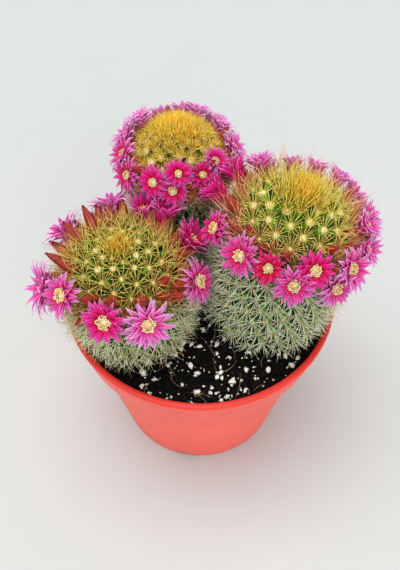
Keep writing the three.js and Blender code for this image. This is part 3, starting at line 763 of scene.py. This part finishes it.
def make_pot():
    """The pot as one moulding, with rounded edges, notches in its foot ring and drain holes."""
    outline = pot_outline()
    bm, corners = half_section([(radius, height) for radius, height, _ in outline])
    roundings = [rounding for _, _, rounding in outline]
    for rounding in {rounding for rounding in roundings if rounding}:
        alike = [corner for corner, own in zip(corners, roundings) if own == rounding]
        bmesh.ops.bevel(
            bm, geom=alike, offset=rounding, offset_type="OFFSET", segments=4, profile=0.5,
            affect="VERTICES", material=-1,
        )
    turn_on_lathe(bm, POT_STEPS)
    bmesh.ops.recalc_face_normals(bm, faces=bm.faces)
    cutters = bmesh.new()
    for turn in NOTCH_TURNS:
        place = Matrix.Rotation(math.radians(turn), 4, "Z")
        place @= Matrix.Translation((FOOT_RADIUS - FOOT_RING / 2, 0, 0))
        place @= Matrix.Diagonal((NOTCH_REACH, NOTCH_WIDTH, 2 * NOTCH_HEIGHT, 1))
        bmesh.ops.create_cube(cutters, size=1, matrix=place)
    for number in range(DRAIN_COUNT):
        place = Matrix.Rotation((number + 0.5) * 2 * math.pi / DRAIN_COUNT, 4, "Z")
        place @= Matrix.Translation((DRAIN_CIRCLE, 0, (FLOOR_BOTTOM + FLOOR_TOP) / 2))
        bmesh.ops.create_cone(
            cutters, cap_ends=True, segments=DRAIN_SIDES, radius1=DRAIN_RADIUS, radius2=DRAIN_RADIUS,
            depth=FLOOR_BOTTOM + FLOOR_TOP, matrix=place,
        )
    return cut(bm, cutters)


def cut(bm, cutters):
    """Takes the cutters' shapes out of a shape."""
    objects = []
    for name, shape in (("whole", bm), ("cutters", cutters)):
        mesh = bpy.data.meshes.new(name)
        shape.to_mesh(mesh)
        shape.free()
        objects.append(bpy.data.objects.new(name, mesh))
        bpy.context.scene.collection.objects.link(objects[-1])
    whole, tool = objects
    boolean = whole.modifiers.new("cut", "BOOLEAN")
    boolean.object = tool
    boolean.operation = "DIFFERENCE"
    boolean.solver = "EXACT"
    result = bmesh.new()
    result.from_object(whole, bpy.context.evaluated_depsgraph_get())
    for made in objects:
        bpy.data.objects.remove(made)
    bmesh.ops.remove_doubles(result, verts=result.verts, dist=0.005)
    bmesh.ops.dissolve_degenerate(result, edges=result.edges, dist=0.005)
    return result


# Bodies of revolution covered by points that are spread by the golden angle

class Skin:
    """A half outline walked in even steps, from the top down."""

    def __init__(self, corners):
        corners = np.array(corners, float)
        walked = np.append(0, np.cumsum(np.linalg.norm(np.diff(corners, axis=0), axis=1)))
        self.length = np.linspace(0, walked[-1], SKIN_STEPS + 1)[1:-1]
        self.step = self.length[1] - self.length[0]
        self.radius = np.interp(self.length, walked, corners[:, 0])
        self.height = np.interp(self.length, walked, corners[:, 1])
        self.slope = unit(np.gradient(np.stack((self.radius, self.height), 1), axis=0))
        # The angle on a ball onto which the body maps with no stretch one way more than the other
        stretch = np.cumsum(self.step / self.radius)
        self.ball = 2 * np.arctan(np.exp(stretch - np.median(stretch)))

    def sites(self, cell, first_turn=0.0):
        """Points that each have an area of cell to themselves, as a table of places and directions."""
        count = np.cumsum(2 * math.pi * self.radius * self.step / cell)
        number = np.arange(int(count[-1]))
        at = np.interp(number + 0.5, count, np.arange(len(count)))
        return self.table(at, first_turn + number * GOLDEN_TURN)

    def ring(self, index, count):
        """Points in an even ring at one step of the walk."""
        return self.table(np.full(count, float(index)), np.arange(count) * 2 * math.pi / count)

    def table(self, at, turn):
        def pick(values):
            return np.interp(at, np.arange(len(values)), values)

        across = np.stack((np.cos(turn), np.sin(turn), 0 * turn), 1)
        around = np.stack((-np.sin(turn), np.cos(turn), 0 * turn), 1)
        down = across * pick(self.slope[:, 0])[:, None] + UP * pick(self.slope[:, 1])[:, None]
        ball = pick(self.ball)[:, None]
        return {
            "place": across * pick(self.radius)[:, None] + UP * pick(self.height)[:, None],
            "down": down,
            "around": around,
            "normal": np.cross(down, around),
            "ball": across * np.sin(ball) + UP * np.cos(ball),
            "length": pick(self.length),
        }


def joined(*tables):
    return {key: np.concatenate([table[key] for table in tables]) for key in tables[0]}


def net_of(sites):
    """A closed net of triangles that joins neighbouring points. Returns it and its points in order."""
    bm = bmesh.new()
    verts = [bm.verts.new(place) for place in sites["ball"]]
    bmesh.ops.convex_hull(bm, input=verts)
    for vert, place in zip(verts, sites["place"]):
        vert.co = place
    bmesh.ops.recalc_face_normals(bm, faces=bm.faces)
    return bm, verts


# The soil

def make_peat():
    """A fill that follows the pot's wall, with a crumbly top."""
    inset = WALL + SOIL_GAP
    skin = Skin((
        (0, SOIL_LEVEL), (SOIL_RADIUS, SOIL_LEVEL), (COLLAR_RADIUS - inset, COLLAR_FOOT + inset),
        (SHOULDER_RADIUS - inset - SOIL_GAP, COLLAR_FOOT + 1), (FOOT_RADIUS - inset, FLOOR_TOP + SOIL_GAP),
        (0, FLOOR_TOP + SOIL_GAP),
    ))
    top_and_side = skin.sites(np.where(skin.length < SOIL_RADIUS - 1, SOIL_TOP_CELL, SOIL_SIDE_CELL))
    sites = joined(top_and_side, skin.ring(np.argmax(skin.radius), SOIL_RIM_POINTS))
    for place in sites["place"]:
        if place[2] > SOIL_LEVEL - 0.5:
            spot = Vector(place)
            coarse = noise.noise(spot * 0.16)
            fine = noise.turbulence(spot * 0.55, 3, False)
            place[2] += 1.1 * coarse + 1.5 * fine - 0.6
    bm, _ = net_of(sites)
    return bm


def soil_spots(count, plants, seed, margin):
    """Seeded places on the soil that are clear of the plants, with six draws from 0 to 1 for each."""
    draws = np.random.default_rng(seed)
    spots = []
    while len(spots) < count:
        radius = (SOIL_RADIUS - 1.5) * math.sqrt(draws.random())
        turn = draws.random() * 2 * math.pi
        spot = np.array((radius * math.cos(turn), radius * math.sin(turn), SOIL_LEVEL))
        if all(np.hypot(*(spot - plant.foot)[:2]) > plant.foot_radius + margin for plant in plants):
            spots.append((spot, draws.random(6)))
    return spots


def lay(bm, shapes, spot, draw, height, upright, size):
    """Lays one of the shapes over a spot, tipped and turned as the spot's draws say."""
    tipped = (draw[2] - 0.5, draw[3] - 0.5, upright)
    shape = shapes[int(len(shapes) * draw[5])]
    stamp(bm, shape, standing(spot + UP * height, tipped, 6 * draw[4], size))


def make_crumbs(plants):
    shapes = [lump(f"crumb_{seed}", seed, 1, 0.9) for seed in range(5)]
    bm = bmesh.new()
    for spot, draw in soil_spots(CRUMB_COUNT, plants, seed=21, margin=0.5):
        size = 0.45 + 0.9 * draw[0] ** 2
        lay(bm, shapes, spot, draw, between(0.6, 1.1, draw[1]), 0.6, (1.5 * size, size, 0.8 * size))
    return bm


def make_perlite(plants):
    """Mostly small grains, with a few large ones that stand out of the peat."""
    shapes = [lump(f"grain_{seed}", seed + 9, 2, 0.75) for seed in range(6)]
    bm = bmesh.new()
    for spot, draw in soil_spots(PERLITE_COUNT, plants, seed=22, margin=1.0):
        size = 0.24 + draw[0] ** 4
        lay(bm, shapes, spot, draw, 0.7 + 0.5 * size, 0.8, (1.45 * size, size, 0.85 * size))
    return bm


def make_fibres(plants):
    """Thin dead roots that lie in loose bows on the soil."""
    bm = bmesh.new()
    bmesh.ops.create_cone(bm, cap_ends=True, segments=4, radius1=0.12, radius2=0.05, depth=1)
    split_at(bm, -0.3, -0.1, 0.1, 0.3)
    straight = small_shape("fibre", bm)
    rest = points_of(straight)
    share = rest[:, 2:3]
    bm = bmesh.new()
    for spot, draw in soil_spots(FIBRE_COUNT, plants, seed=23, margin=3):
        length = between(4, 13, draw[0])
        bow = 2.5 * (draw[1] - 0.5)
        turn = 2 * math.pi * draw[2]
        along = np.array((math.cos(turn), math.sin(turn), 0.3 * (draw[3] - 0.5)))
        aside = np.array((-math.sin(turn), math.cos(turn), 0))
        middle = spot + UP * (1.7 + draw[4]) + along * length * share
        middle = middle + aside * bow * (1 - 4 * share ** 2) + UP * 0.8 * (draw[5] - 0.5) * share
        stamp(bm, straight, middle + aside * rest[:, :1] + UP * rest[:, 1:2])
    return bm


# The plants

class Plant:
    """Where a plant stands, its outline, and its tubercles."""

    def __init__(self, name, settings):
        self.name = name
        self.settings = settings
        self.foot = np.array((*settings["base"], SOIL_LEVEL), float)
        stem = np.array(settings["apex"], float) - self.foot
        self.axis = unit(stem)
        self.lean = np.array(lean_to(self.axis))
        self.radius = settings["radius"]
        self.dome = settings["dome"]
        self.side = np.linalg.norm(stem) - self.dome
        self.foot_radius = self.radius * (1 - settings["taper"])
        self.skin = Skin(self.corners())
        grown = smooth_step(self.skin.length, CROWN_FROM, CROWN_TO)
        cell = CROWN_CELL + (settings["cell"] - CROWN_CELL) * grown
        cell = np.where(self.skin.height < -1, BURIED_CELL, cell)
        self.sites = self.skin.sites(cell, settings["seed"])
        self.sites["zone"] = np.interp(self.sites["length"], settings["zones"], range(4))
        self.sites["cell"] = np.interp(self.sites["length"], self.skin.length, cell)
        self.draws = np.random.default_rng(settings["seed"])

    def corners(self):
        """The half outline about the plant's own axis: a dome, a curved flank and the buried foot."""
        angle = np.linspace(0, math.pi / 2, DOME_STEPS)[:, None]
        dome = np.hstack((self.radius * np.sin(angle), self.side + self.dome * np.cos(angle)))
        share = np.linspace(0, 1, FLANK_STEPS)[1:, None]
        flank = (
            (1 - share) ** 2 * np.array((self.radius, self.side))
            + 2 * share * (1 - share) * np.array((self.radius, self.side / 2))
            + share ** 2 * np.array((self.foot_radius, 0))
        )
        return np.vstack((dome, flank, (self.foot_radius, -BURIED), (0, -BURIED)))

    def to_pot(self, places):
        """Places on the plant, as seen from the pot."""
        return places @ self.lean.T + self.foot

    def depth_of(self, places):
        """How far places are outside this plant's skin; less than 0 inside."""
        every_sixth = slice(None, None, 6)
        radius, height = self.skin.radius[every_sixth], self.skin.height[every_sixth]
        local = (places - self.foot) @ self.lean
        across = np.hypot(local[:, 0], local[:, 1])
        gaps = np.hypot(across[:, None] - radius, local[:, 2][:, None] - height)
        nearest = gaps.argmin(1)
        slope = self.skin.slope[every_sixth][nearest]
        aside, over = across - radius[nearest], local[:, 2] - height[nearest]
        outward = -slope[:, 1] * aside + slope[:, 0] * over
        return np.where(outward < 0, -1, 1) * gaps.min(1)

    def stand(self, bm):
        """Moves a shape that was made on the plant's own axis to where the plant stands in the pot."""
        bm.transform(Matrix.Translation(self.foot) @ Matrix(self.lean).to_4x4())


def make_body(plant):
    """The green body: each tubercle is a cell of the net, drawn up in rings to its areole."""
    sites = plant.sites
    bm, tips = net_of(sites)
    old_edges = bm.edges[:]
    hollows = bmesh.ops.poke(bm, faces=bm.faces[:], offset=-VALLEY)["verts"]
    bmesh.ops.rotate_edges(bm, edges=old_edges)
    number_of = bm.faces.layers.int.new("number")
    for number, tip in enumerate(tips):
        for face in tip.link_faces:
            face[number_of] = number
    plant.axils = np.array([hollow.co for hollow in hollows])
    bmesh.ops.dissolve_verts(bm, verts=tips)
    # The share of the way from hollow to areole, which darkens the skin toward the hollows as painted shade
    height_of = bm.verts.layers.float.new("tip")
    zone_of = bm.verts.layers.float.new("zone")
    cells = bm.faces[:]
    for face in cells:
        for vert in face.verts:
            vert[zone_of] = sites["zone"][face[number_of]]
    for draw_in, stand_out, height in TUBERCLE_RINGS:
        bmesh.ops.inset_individual(bm, faces=cells, thickness=0, depth=0)
        for face in cells:
            number = face[number_of]
            tip = Vector(sites["place"][number])
            outward = Vector(sites["normal"][number]) * stand_out
            for vert in face.verts:
                vert.co = vert.co.lerp(tip, draw_in) + outward
                vert[height_of] = height
                vert[zone_of] = sites["zone"][number]
    plant.stand(bm)
    return bm


def areoles(plant):
    """The sites above the soil, with their places and directions as seen from the pot."""
    sites = plant.sites
    shown = sites["place"][:, 2] > BARE_BELOW
    turned = {key: sites[key][shown] @ plant.lean.T for key in ("down", "around", "normal")}
    turned["place"] = plant.to_pot(sites["place"][shown])
    turned["zone"] = sites["zone"][shown]
    turned["cell"] = sites["cell"][shown]
    return turned


def make_wool(plant, found):
    """A cushion of wool on each areole, smaller where the tubercles are crowded."""
    shapes = [lump(f"wool_{seed}", seed + 20, 2, 0.45, zone=0.0) for seed in range(4)]
    own = plant.settings
    bm = bmesh.new()
    for place, normal, zone, cell in zip(*(found[key] for key in ("place", "normal", "zone", "cell"))):
        draw = plant.draws.random(3)
        size = by_zone(WOOL_RADIUS, zone) * between(0.85, 1.15, draw[0])
        size *= min(1, math.sqrt(cell / own["cell"]) * 1.2)
        size *= own["wool"] * math.sqrt(own["cell"] / WOOL_CELL)
        placed = standing(place - normal * WOOL_SUNK, normal, 6.3 * draw[1], (size, size, size * WOOL_FLAT))
        stamp(bm, shapes[int(len(shapes) * draw[2])], placed, zone=zone)
    return bm


def needle_shape():
    """A needle 1 long and 1 in radius at its root, which narrows most in its upper half."""
    bm = bmesh.new()
    bmesh.ops.create_cone(
        bm, cap_ends=True, segments=3, radius1=1, radius2=0, depth=1,
        matrix=Matrix.Translation((0, 0, 0.5)),
    )
    split_at(bm, 0.5)
    middle = [vert for vert in bm.verts if abs(vert.co.z - 0.5) < 0.01]
    bmesh.ops.scale(bm, verts=middle, vec=(1.6, 1.6, 1))
    return small_shape("needle", bm, along=lambda places: places[:, 2], zone=0.0, tone=0.0, kind=0.0)


def spine_table(plant, found):
    """Root, direction, length, zone and tone of every spine of a plant. Central spines are darker."""
    own, draws = plant.settings, plant.draws
    kinds = (
        (RADIALS, RADIAL_LIFT, own["radial_length"], RADIAL_SEAT, 0.0),
        (CENTRALS, CENTRAL_LIFT, own["central_length"], CENTRAL_SEAT, 0.5),
    )
    rows = []
    for number, place in enumerate(found["place"]):
        zone = found["zone"][number]
        down, around, normal = (found[key][number] for key in ("down", "around", "normal"))
        for counts, lifts, lengths, seat, darker in kinds:
            count = round(by_zone(counts, zone) * by_zone(own["thick"], zone))
            share = (np.arange(count) + draws.random() + draws.normal(0, TURN_SCATTER, count)) / count
            turn = 2 * math.pi * share
            lift = np.radians(by_zone(lifts, zone) + draws.normal(0, LIFT_SCATTER, count))
            flat = np.cos(turn)[:, None] * down + np.sin(turn)[:, None] * around
            arm = np.cos(lift)[:, None] * flat + np.sin(lift)[:, None] * normal
            arm = unit(arm + by_zone(PULL_UP, zone) * plant.axis)
            length = by_zone(lengths, zone) * between(0.82, 1.12, draws.random(count))
            length *= 1 + own["far"] * smooth_step(arm[:, 1], 0.0, 0.7)
            root = place + flat * seat - normal * 0.1
            tone = 0.5 * draws.random(count) + darker
            rows.append(np.column_stack((root, arm, length, np.full(count, zone), tone)))
    return np.vstack(rows)


def keep_clear(table, plant, plants, flowers):
    """Shortens the spines that would run into the soil, the pot, another plant or an open flower."""
    root, arm, length = table[:, 0:3], table[:, 3:6], table[:, 6]
    fits = np.zeros(len(table), bool)
    for part in SPINE_CUTS:
        tip = root + arm * (length * part)[:, None]
        clear = tip[:, 2] > SOIL_LEVEL + TIP_OVER_SOIL
        clear &= (tip[:, 2] > POT_HEIGHT + TIP_GAP) | (np.hypot(tip[:, 0], tip[:, 1]) < SOIL_RADIUS)
        for other in plants:
            if other is not plant:
                clear &= other.depth_of(tip) > TIP_GAP
        for flower in flowers:
            arm_to = tip - flower["throat"]
            over = arm_to @ flower["axis"]
            aside = np.linalg.norm(arm_to - over[:, None] * flower["axis"], axis=1)
            clear &= (over < 0.5) | (aside > flower["size"] * FLOWER_CLEARANCE)
        now = clear & ~fits
        length[now] *= part
        fits |= clear
    return table[fits]


def make_spines(plant, found, plants, flowers, needle):
    bm = bmesh.new()
    for row in keep_clear(spine_table(plant, found), plant, plants, flowers):
        root, arm, (length, zone, tone) = row[0:3], row[3:6], row[6:9]
        radius = by_zone(SPINE_RADIUS, zone)
        stamp(bm, needle, standing(root, arm, 6.3 * tone, (radius, radius, length)), zone=zone, tone=tone)
    return bm


# Petals, flowers and buds

def blade_shape(name, across, along, widths, thickness):
    """A flat blade: X runs across from -1 to 1, narrowed by widths, and Y along from 0 to 1."""
    bm = bmesh.new()
    bmesh.ops.create_grid(bm, x_segments=across, y_segments=along, size=1)
    across_of = bm.verts.layers.float.new("across")
    along_of = bm.verts.layers.float.new("along")
    stations = np.linspace(0, 1, len(widths))
    for vert in bm.verts:
        share = (vert.co.y + 1) / 2
        vert[across_of] = abs(vert.co.x)
        vert[along_of] = share
        vert.co = (vert.co.x * np.interp(share, stations, widths), share, 0)
    bmesh.ops.remove_doubles(bm, verts=bm.verts, dist=0.001)
    bmesh.ops.solidify(bm, geom=bm.faces[:], thickness=thickness)
    return small_shape(name, bm, tone=0.0)


def add_blade(bm, shape, root, outward, upward, length, width, leans, cup=0.12, tone=0.0):
    """Bends a blade so that it leans outward by leans, in degrees, from root to tip, and is hollow across."""
    flat = points_of(shape)
    walk = np.linspace(0, 1, BLADE_STEPS + 1)
    angle = np.radians(np.interp(walk, np.linspace(0, 1, len(leans)), leans))
    step = length / BLADE_STEPS
    out = np.append(0, np.cumsum(np.sin(angle[1:]))) * step
    rise = np.append(0, np.cumsum(np.cos(angle[1:]))) * step
    out, rise, lean = (np.interp(flat[:, 1], walk, values)[:, None] for values in (out, rise, angle))
    inner = -np.cos(lean) * outward + np.sin(lean) * upward
    half = flat[:, 0] * width / 2
    raised = flat[:, 2] + cup * half ** 2
    aside = half[:, None] * np.cross(outward, upward)
    stamp(bm, shape, root + out * outward + rise * upward + aside + raised[:, None] * inner, tone=tone)


def flower_of(node):
    """Reads a CAD flower: its foot, its axis, and the direction and lean of each petal."""
    bm = bmesh.new()
    bm.from_mesh(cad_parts[node].data)
    bmesh.ops.transform(bm, matrix=TO_FRAME.inverted(), verts=bm.verts)
    bmesh.ops.remove_doubles(bm, verts=bm.verts, dist=0.002)
    tips = [np.array(vert.co) for vert in bm.verts if len(vert.link_edges) == 3]
    middle = Vector(np.mean(tips, axis=0))
    lowest = max(bm.verts, key=lambda vert: np.linalg.norm(vert.co - middle))
    foot = np.array(lowest.co)
    throat = np.mean([edge.other_vert(lowest).co for edge in lowest.link_edges], axis=0)
    axis = unit(throat - foot)
    size = np.linalg.norm(throat - foot) / TUBE_LENGTH
    bm.free()
    petals = []
    for tip in tips:
        arm = tip - throat
        outward = unit(arm - axis * (arm @ axis))
        reach = arm - outward * THROAT_RADIUS * size
        petals.append((outward, math.degrees(math.atan2(reach @ outward, reach @ axis))))
    first = petals[0][0]
    return {
        "foot": foot, "axis": axis, "throat": throat, "size": size, "petals": petals,
        "first": first, "second": np.cross(axis, first),
    }


def out_of(flower, turn):
    """The direction out of a flower's axis at a turn from its first petal."""
    return math.cos(turn) * flower["first"] + math.sin(turn) * flower["second"]


def leans_round(flower):
    """The turns of a CAD flower's petals, and their leans, over three rounds from end to end."""
    known = sorted(
        (math.atan2(out @ flower["second"], out @ flower["first"]), lean) for out, lean in flower["petals"]
    )
    turns, leans = np.array(known).T
    return np.concatenate((turns - 2 * math.pi, turns, turns + 2 * math.pi)), np.tile(leans, 3)


def make_bloom(flower, shapes, tube, tone, shut, grown, draws):
    """A funnel with rows of petals, which lean as the petals of the CAD flower near them do."""
    bm = bmesh.new()
    foot, axis, throat, size = (flower[key] for key in ("foot", "axis", "throat", "size"))
    stamp(bm, tube, standing(foot - axis * TUBE_SUNK, axis, 0, (size, size, 1.06 * size)), tone=tone)
    turns, leans = leans_round(flower)
    for row, (count, kind, out, up, length, width, opening, curl, paler) in enumerate(FLOWER_ROWS):
        for place in range(count):
            draw = draws.random(5)
            turn = (place + ROW_TURN * row + 0.3 * (draw[0] - 0.5)) * 2 * math.pi / count
            turn = (turn + math.pi) % (2 * math.pi) - math.pi
            lean = (LEAST_LEAN + LEAN_SHARE * max(0, np.interp(turn, turns, leans))) * (1 - shut)
            full = lean * opening + 12 * (draw[1] - 0.5)
            bend = curl * (0.4 + lean / 70) * (0.5 + draw[2])
            outward = out_of(flower, turn)
            root = throat + (axis * up + outward * out) * size
            # The row's paler shift: on the outer petals partly painted light through backlit petals
            add_blade(
                bm, shapes[kind], root, outward, axis,
                PETAL_LENGTH * grown * size * length * between(0.88, 1.12, draw[3]),
                PETAL_WIDTH * size * width * between(0.88, 1.12, draw[4]),
                (0.3 * full, 0.8 * full, full, full + 0.4 * bend, full + bend), tone=tone + paler,
            )
    return bm


def tube_shape():
    """The funnel under the petals, along which the colour runs from -1 at its foot to 0 in the throat."""
    bm, _ = half_section(TUBE_OUTLINE)
    turn_on_lathe(bm, TUBE_SIDES)
    return small_shape("tube", bm, along=lambda places: places[:, 2] / TUBE_HEIGHT - 1, across=0.0, tone=0.0)


def make_stamens(flower, stalk, anther, grown, draws):
    """A full mound of cream stamens round a stigma of five lobes, on a pinkish cushion whose colour is
    painted shade between the anthers.
    """
    bm = bmesh.new()
    axis, throat, size = flower["axis"], flower["throat"], flower["size"] * grown
    mound = (2.4 * size, 2.4 * size, 2.1 * size)
    # The cushion shares the filaments' pinkish cream, as painted shade between the anthers
    stamp(bm, anther, standing(throat + axis * 0.7 * size, axis, 0, mound), kind=0.7)
    for number in range(STAMEN_COUNT):
        draw = draws.random(3)
        outward = out_of(flower, number * GOLDEN_TURN)
        share = math.sqrt((number + 0.5) / STAMEN_COUNT)
        root = throat + (axis * 0.4 + outward * (0.3 + 1.3 * share)) * size
        arm = unit(axis + outward * (0.1 + 0.45 * share + 0.35 * draw[0]))
        length = (2.9 - 0.9 * share + 1.4 * draw[1]) * size
        width = between(0.34, 0.48, draw[0]) * size
        grain = standing(root + arm * length, arm, 6 * draw[2], (width, width * 0.8, width))
        stamp(bm, stalk, standing(root, arm, 0, (0.2, 0.2, length + 0.3)), kind=0.7)
        stamp(bm, anther, grain, kind=between(0.8, 1.3, draw[2]))
    lean = unit(axis + 0.2 * flower["first"])
    top = throat + lean * 4.1 * size
    stamp(bm, stalk, standing(throat, lean, 0, (0.35 * size, 0.35 * size, 5.5 * size)), kind=1.6)
    for number in range(STIGMA_LOBES):
        turn = number * 2 * math.pi / STIGMA_LOBES
        arm = unit(lean + 0.7 * out_of(flower, turn))
        lobe = (0.42 * size, 0.42 * size, 0.85 * size)
        stamp(bm, anther, standing(top + arm * 0.35 * size, arm, turn, lobe), kind=1.9)
    return bm


def bud_places(plant, flowers):
    """Axils of a band above and between the flowers, clear of the flowers' feet and of each other."""
    local = plant.axils
    across = np.hypot(local[:, 0], local[:, 1]) / plant.radius
    polar = np.degrees(np.arctan2(across, (local[:, 2] - plant.side) / plant.dome))
    low, high = plant.settings["buds"]
    taken = [flower["foot"] for flower in flowers]
    places = []
    for number in np.argsort(-polar, kind="stable"):
        if not low < polar[number] < high or plant.draws.random() > plant.settings["bud_share"]:
            continue
        place = plant.to_pot(local[number])
        if min(np.linalg.norm(place - other) for other in taken) < BUD_CLEARANCE:
            continue
        taken.append(place)
        turn = math.atan2(local[number][1], local[number][0])
        flat = np.array((math.cos(turn), math.sin(turn), 0))
        above = (local[number][2] - plant.side) / plant.dome ** 2
        normal = unit(flat * across[number] / plant.radius + UP * max(0, above))
        places.append((place, unit((normal + 0.35 * UP) @ plant.lean.T)))
    return places


def bud_shape(scale):
    """A sharp bud: rows of scales that close over each other round a core."""
    bm, _ = half_section(BUD_OUTLINE)
    turn_on_lathe(bm, BUD_SIDES)
    core = small_shape("bud_core", bm, along=lambda places: places[:, 2] / BUD_HEIGHT, across=0.2, tone=0.0)
    bm = bmesh.new()
    stamp(bm, core, Matrix.Identity(4))
    for count, shift, height, radius, length, width, leans in BUD_ROWS:
        for number in range(count):
            turn = (number + shift) * 2 * math.pi / count
            outward = np.array((math.cos(turn), math.sin(turn), 0))
            add_blade(bm, scale, outward * radius + UP * height, outward, UP, length, width, leans, 0.2)
    return small_shape("bud", bm)


def make_buds(plant, flowers, bud):
    bm = bmesh.new()
    for place, direction in bud_places(plant, flowers):
        draw = plant.draws.random(3)
        width = plant.settings["bud_size"] * between(1, 1.35, draw[0])
        height = width * between(1.1, 1.35, draw[2])
        stamp(bm, bud, standing(place, direction, 6.3 * draw[1], (width, width, height)))
    return bm


# Assembly

add_camera()
add_studio()

plants = [Plant(name, settings) for name, settings in PLANTS.items()]
add_piece("pot_moulding", make_pot(), pot_plastic(), ["pot"])
peat_finish = peat()
add_piece("peat_bed", make_peat(), peat_finish, ["soil"])
add_piece("peat_crumbs", make_crumbs(plants), peat_finish, ["soil"])
add_piece("perlite_grains", make_perlite(plants), perlite(), ["soil"])
add_piece("root_fibres", make_fibres(plants), root_fibre(), ["soil"])

wool_finish = areole_wool()
petal_finish, pollen_finish, bud_finish = petal_skin(), pollen(), bud_skin()
blades = {name: blade_shape(name, *settings) for name, settings in BLADES.items()}
tube = tube_shape()
needle = needle_shape()
anther = lump("anther", 40, 1, 0.2, kind=1.0)
bud = bud_shape(blades["scale"])

flowers = {node: flower_of(node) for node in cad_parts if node.startswith("flower_")}
for plant in plants:
    cactus = [f"cactus_{plant.name}"]
    own = {node: flower for node, flower in flowers.items() if node.startswith(f"flower_{plant.name}_")}
    body = make_body(plant)
    add_piece(f"{plant.name}_body", body, cactus_skin(plant.name), cactus, levels=1)
    found = areoles(plant)
    add_piece(f"{plant.name}_wool", make_wool(plant, found), wool_finish, cactus)
    needles = make_spines(plant, found, plants, flowers.values(), needle)
    add_piece(f"{plant.name}_spines", needles, spines(plant.name), cactus)
    for node, flower in sorted(own.items()):
        tone, shut, grown = BLOOMS[plant.name][int(node.rsplit("_", 1)[1]) - 1]
        bloom = make_bloom(flower, blades, tube, tone, shut, grown, plant.draws)
        add_piece(node.replace("flower", "bloom"), bloom, petal_finish, [node])
        heart = plant.settings["heart"] * min(1, grown)
        stamens = make_stamens(flower, needle, anther, heart, plant.draws)
        add_piece(node.replace("flower", "stamens"), stamens, pollen_finish, [node])
    add_piece(f"{plant.name}_buds", make_buds(plant, own.values(), bud), bud_finish, cactus)
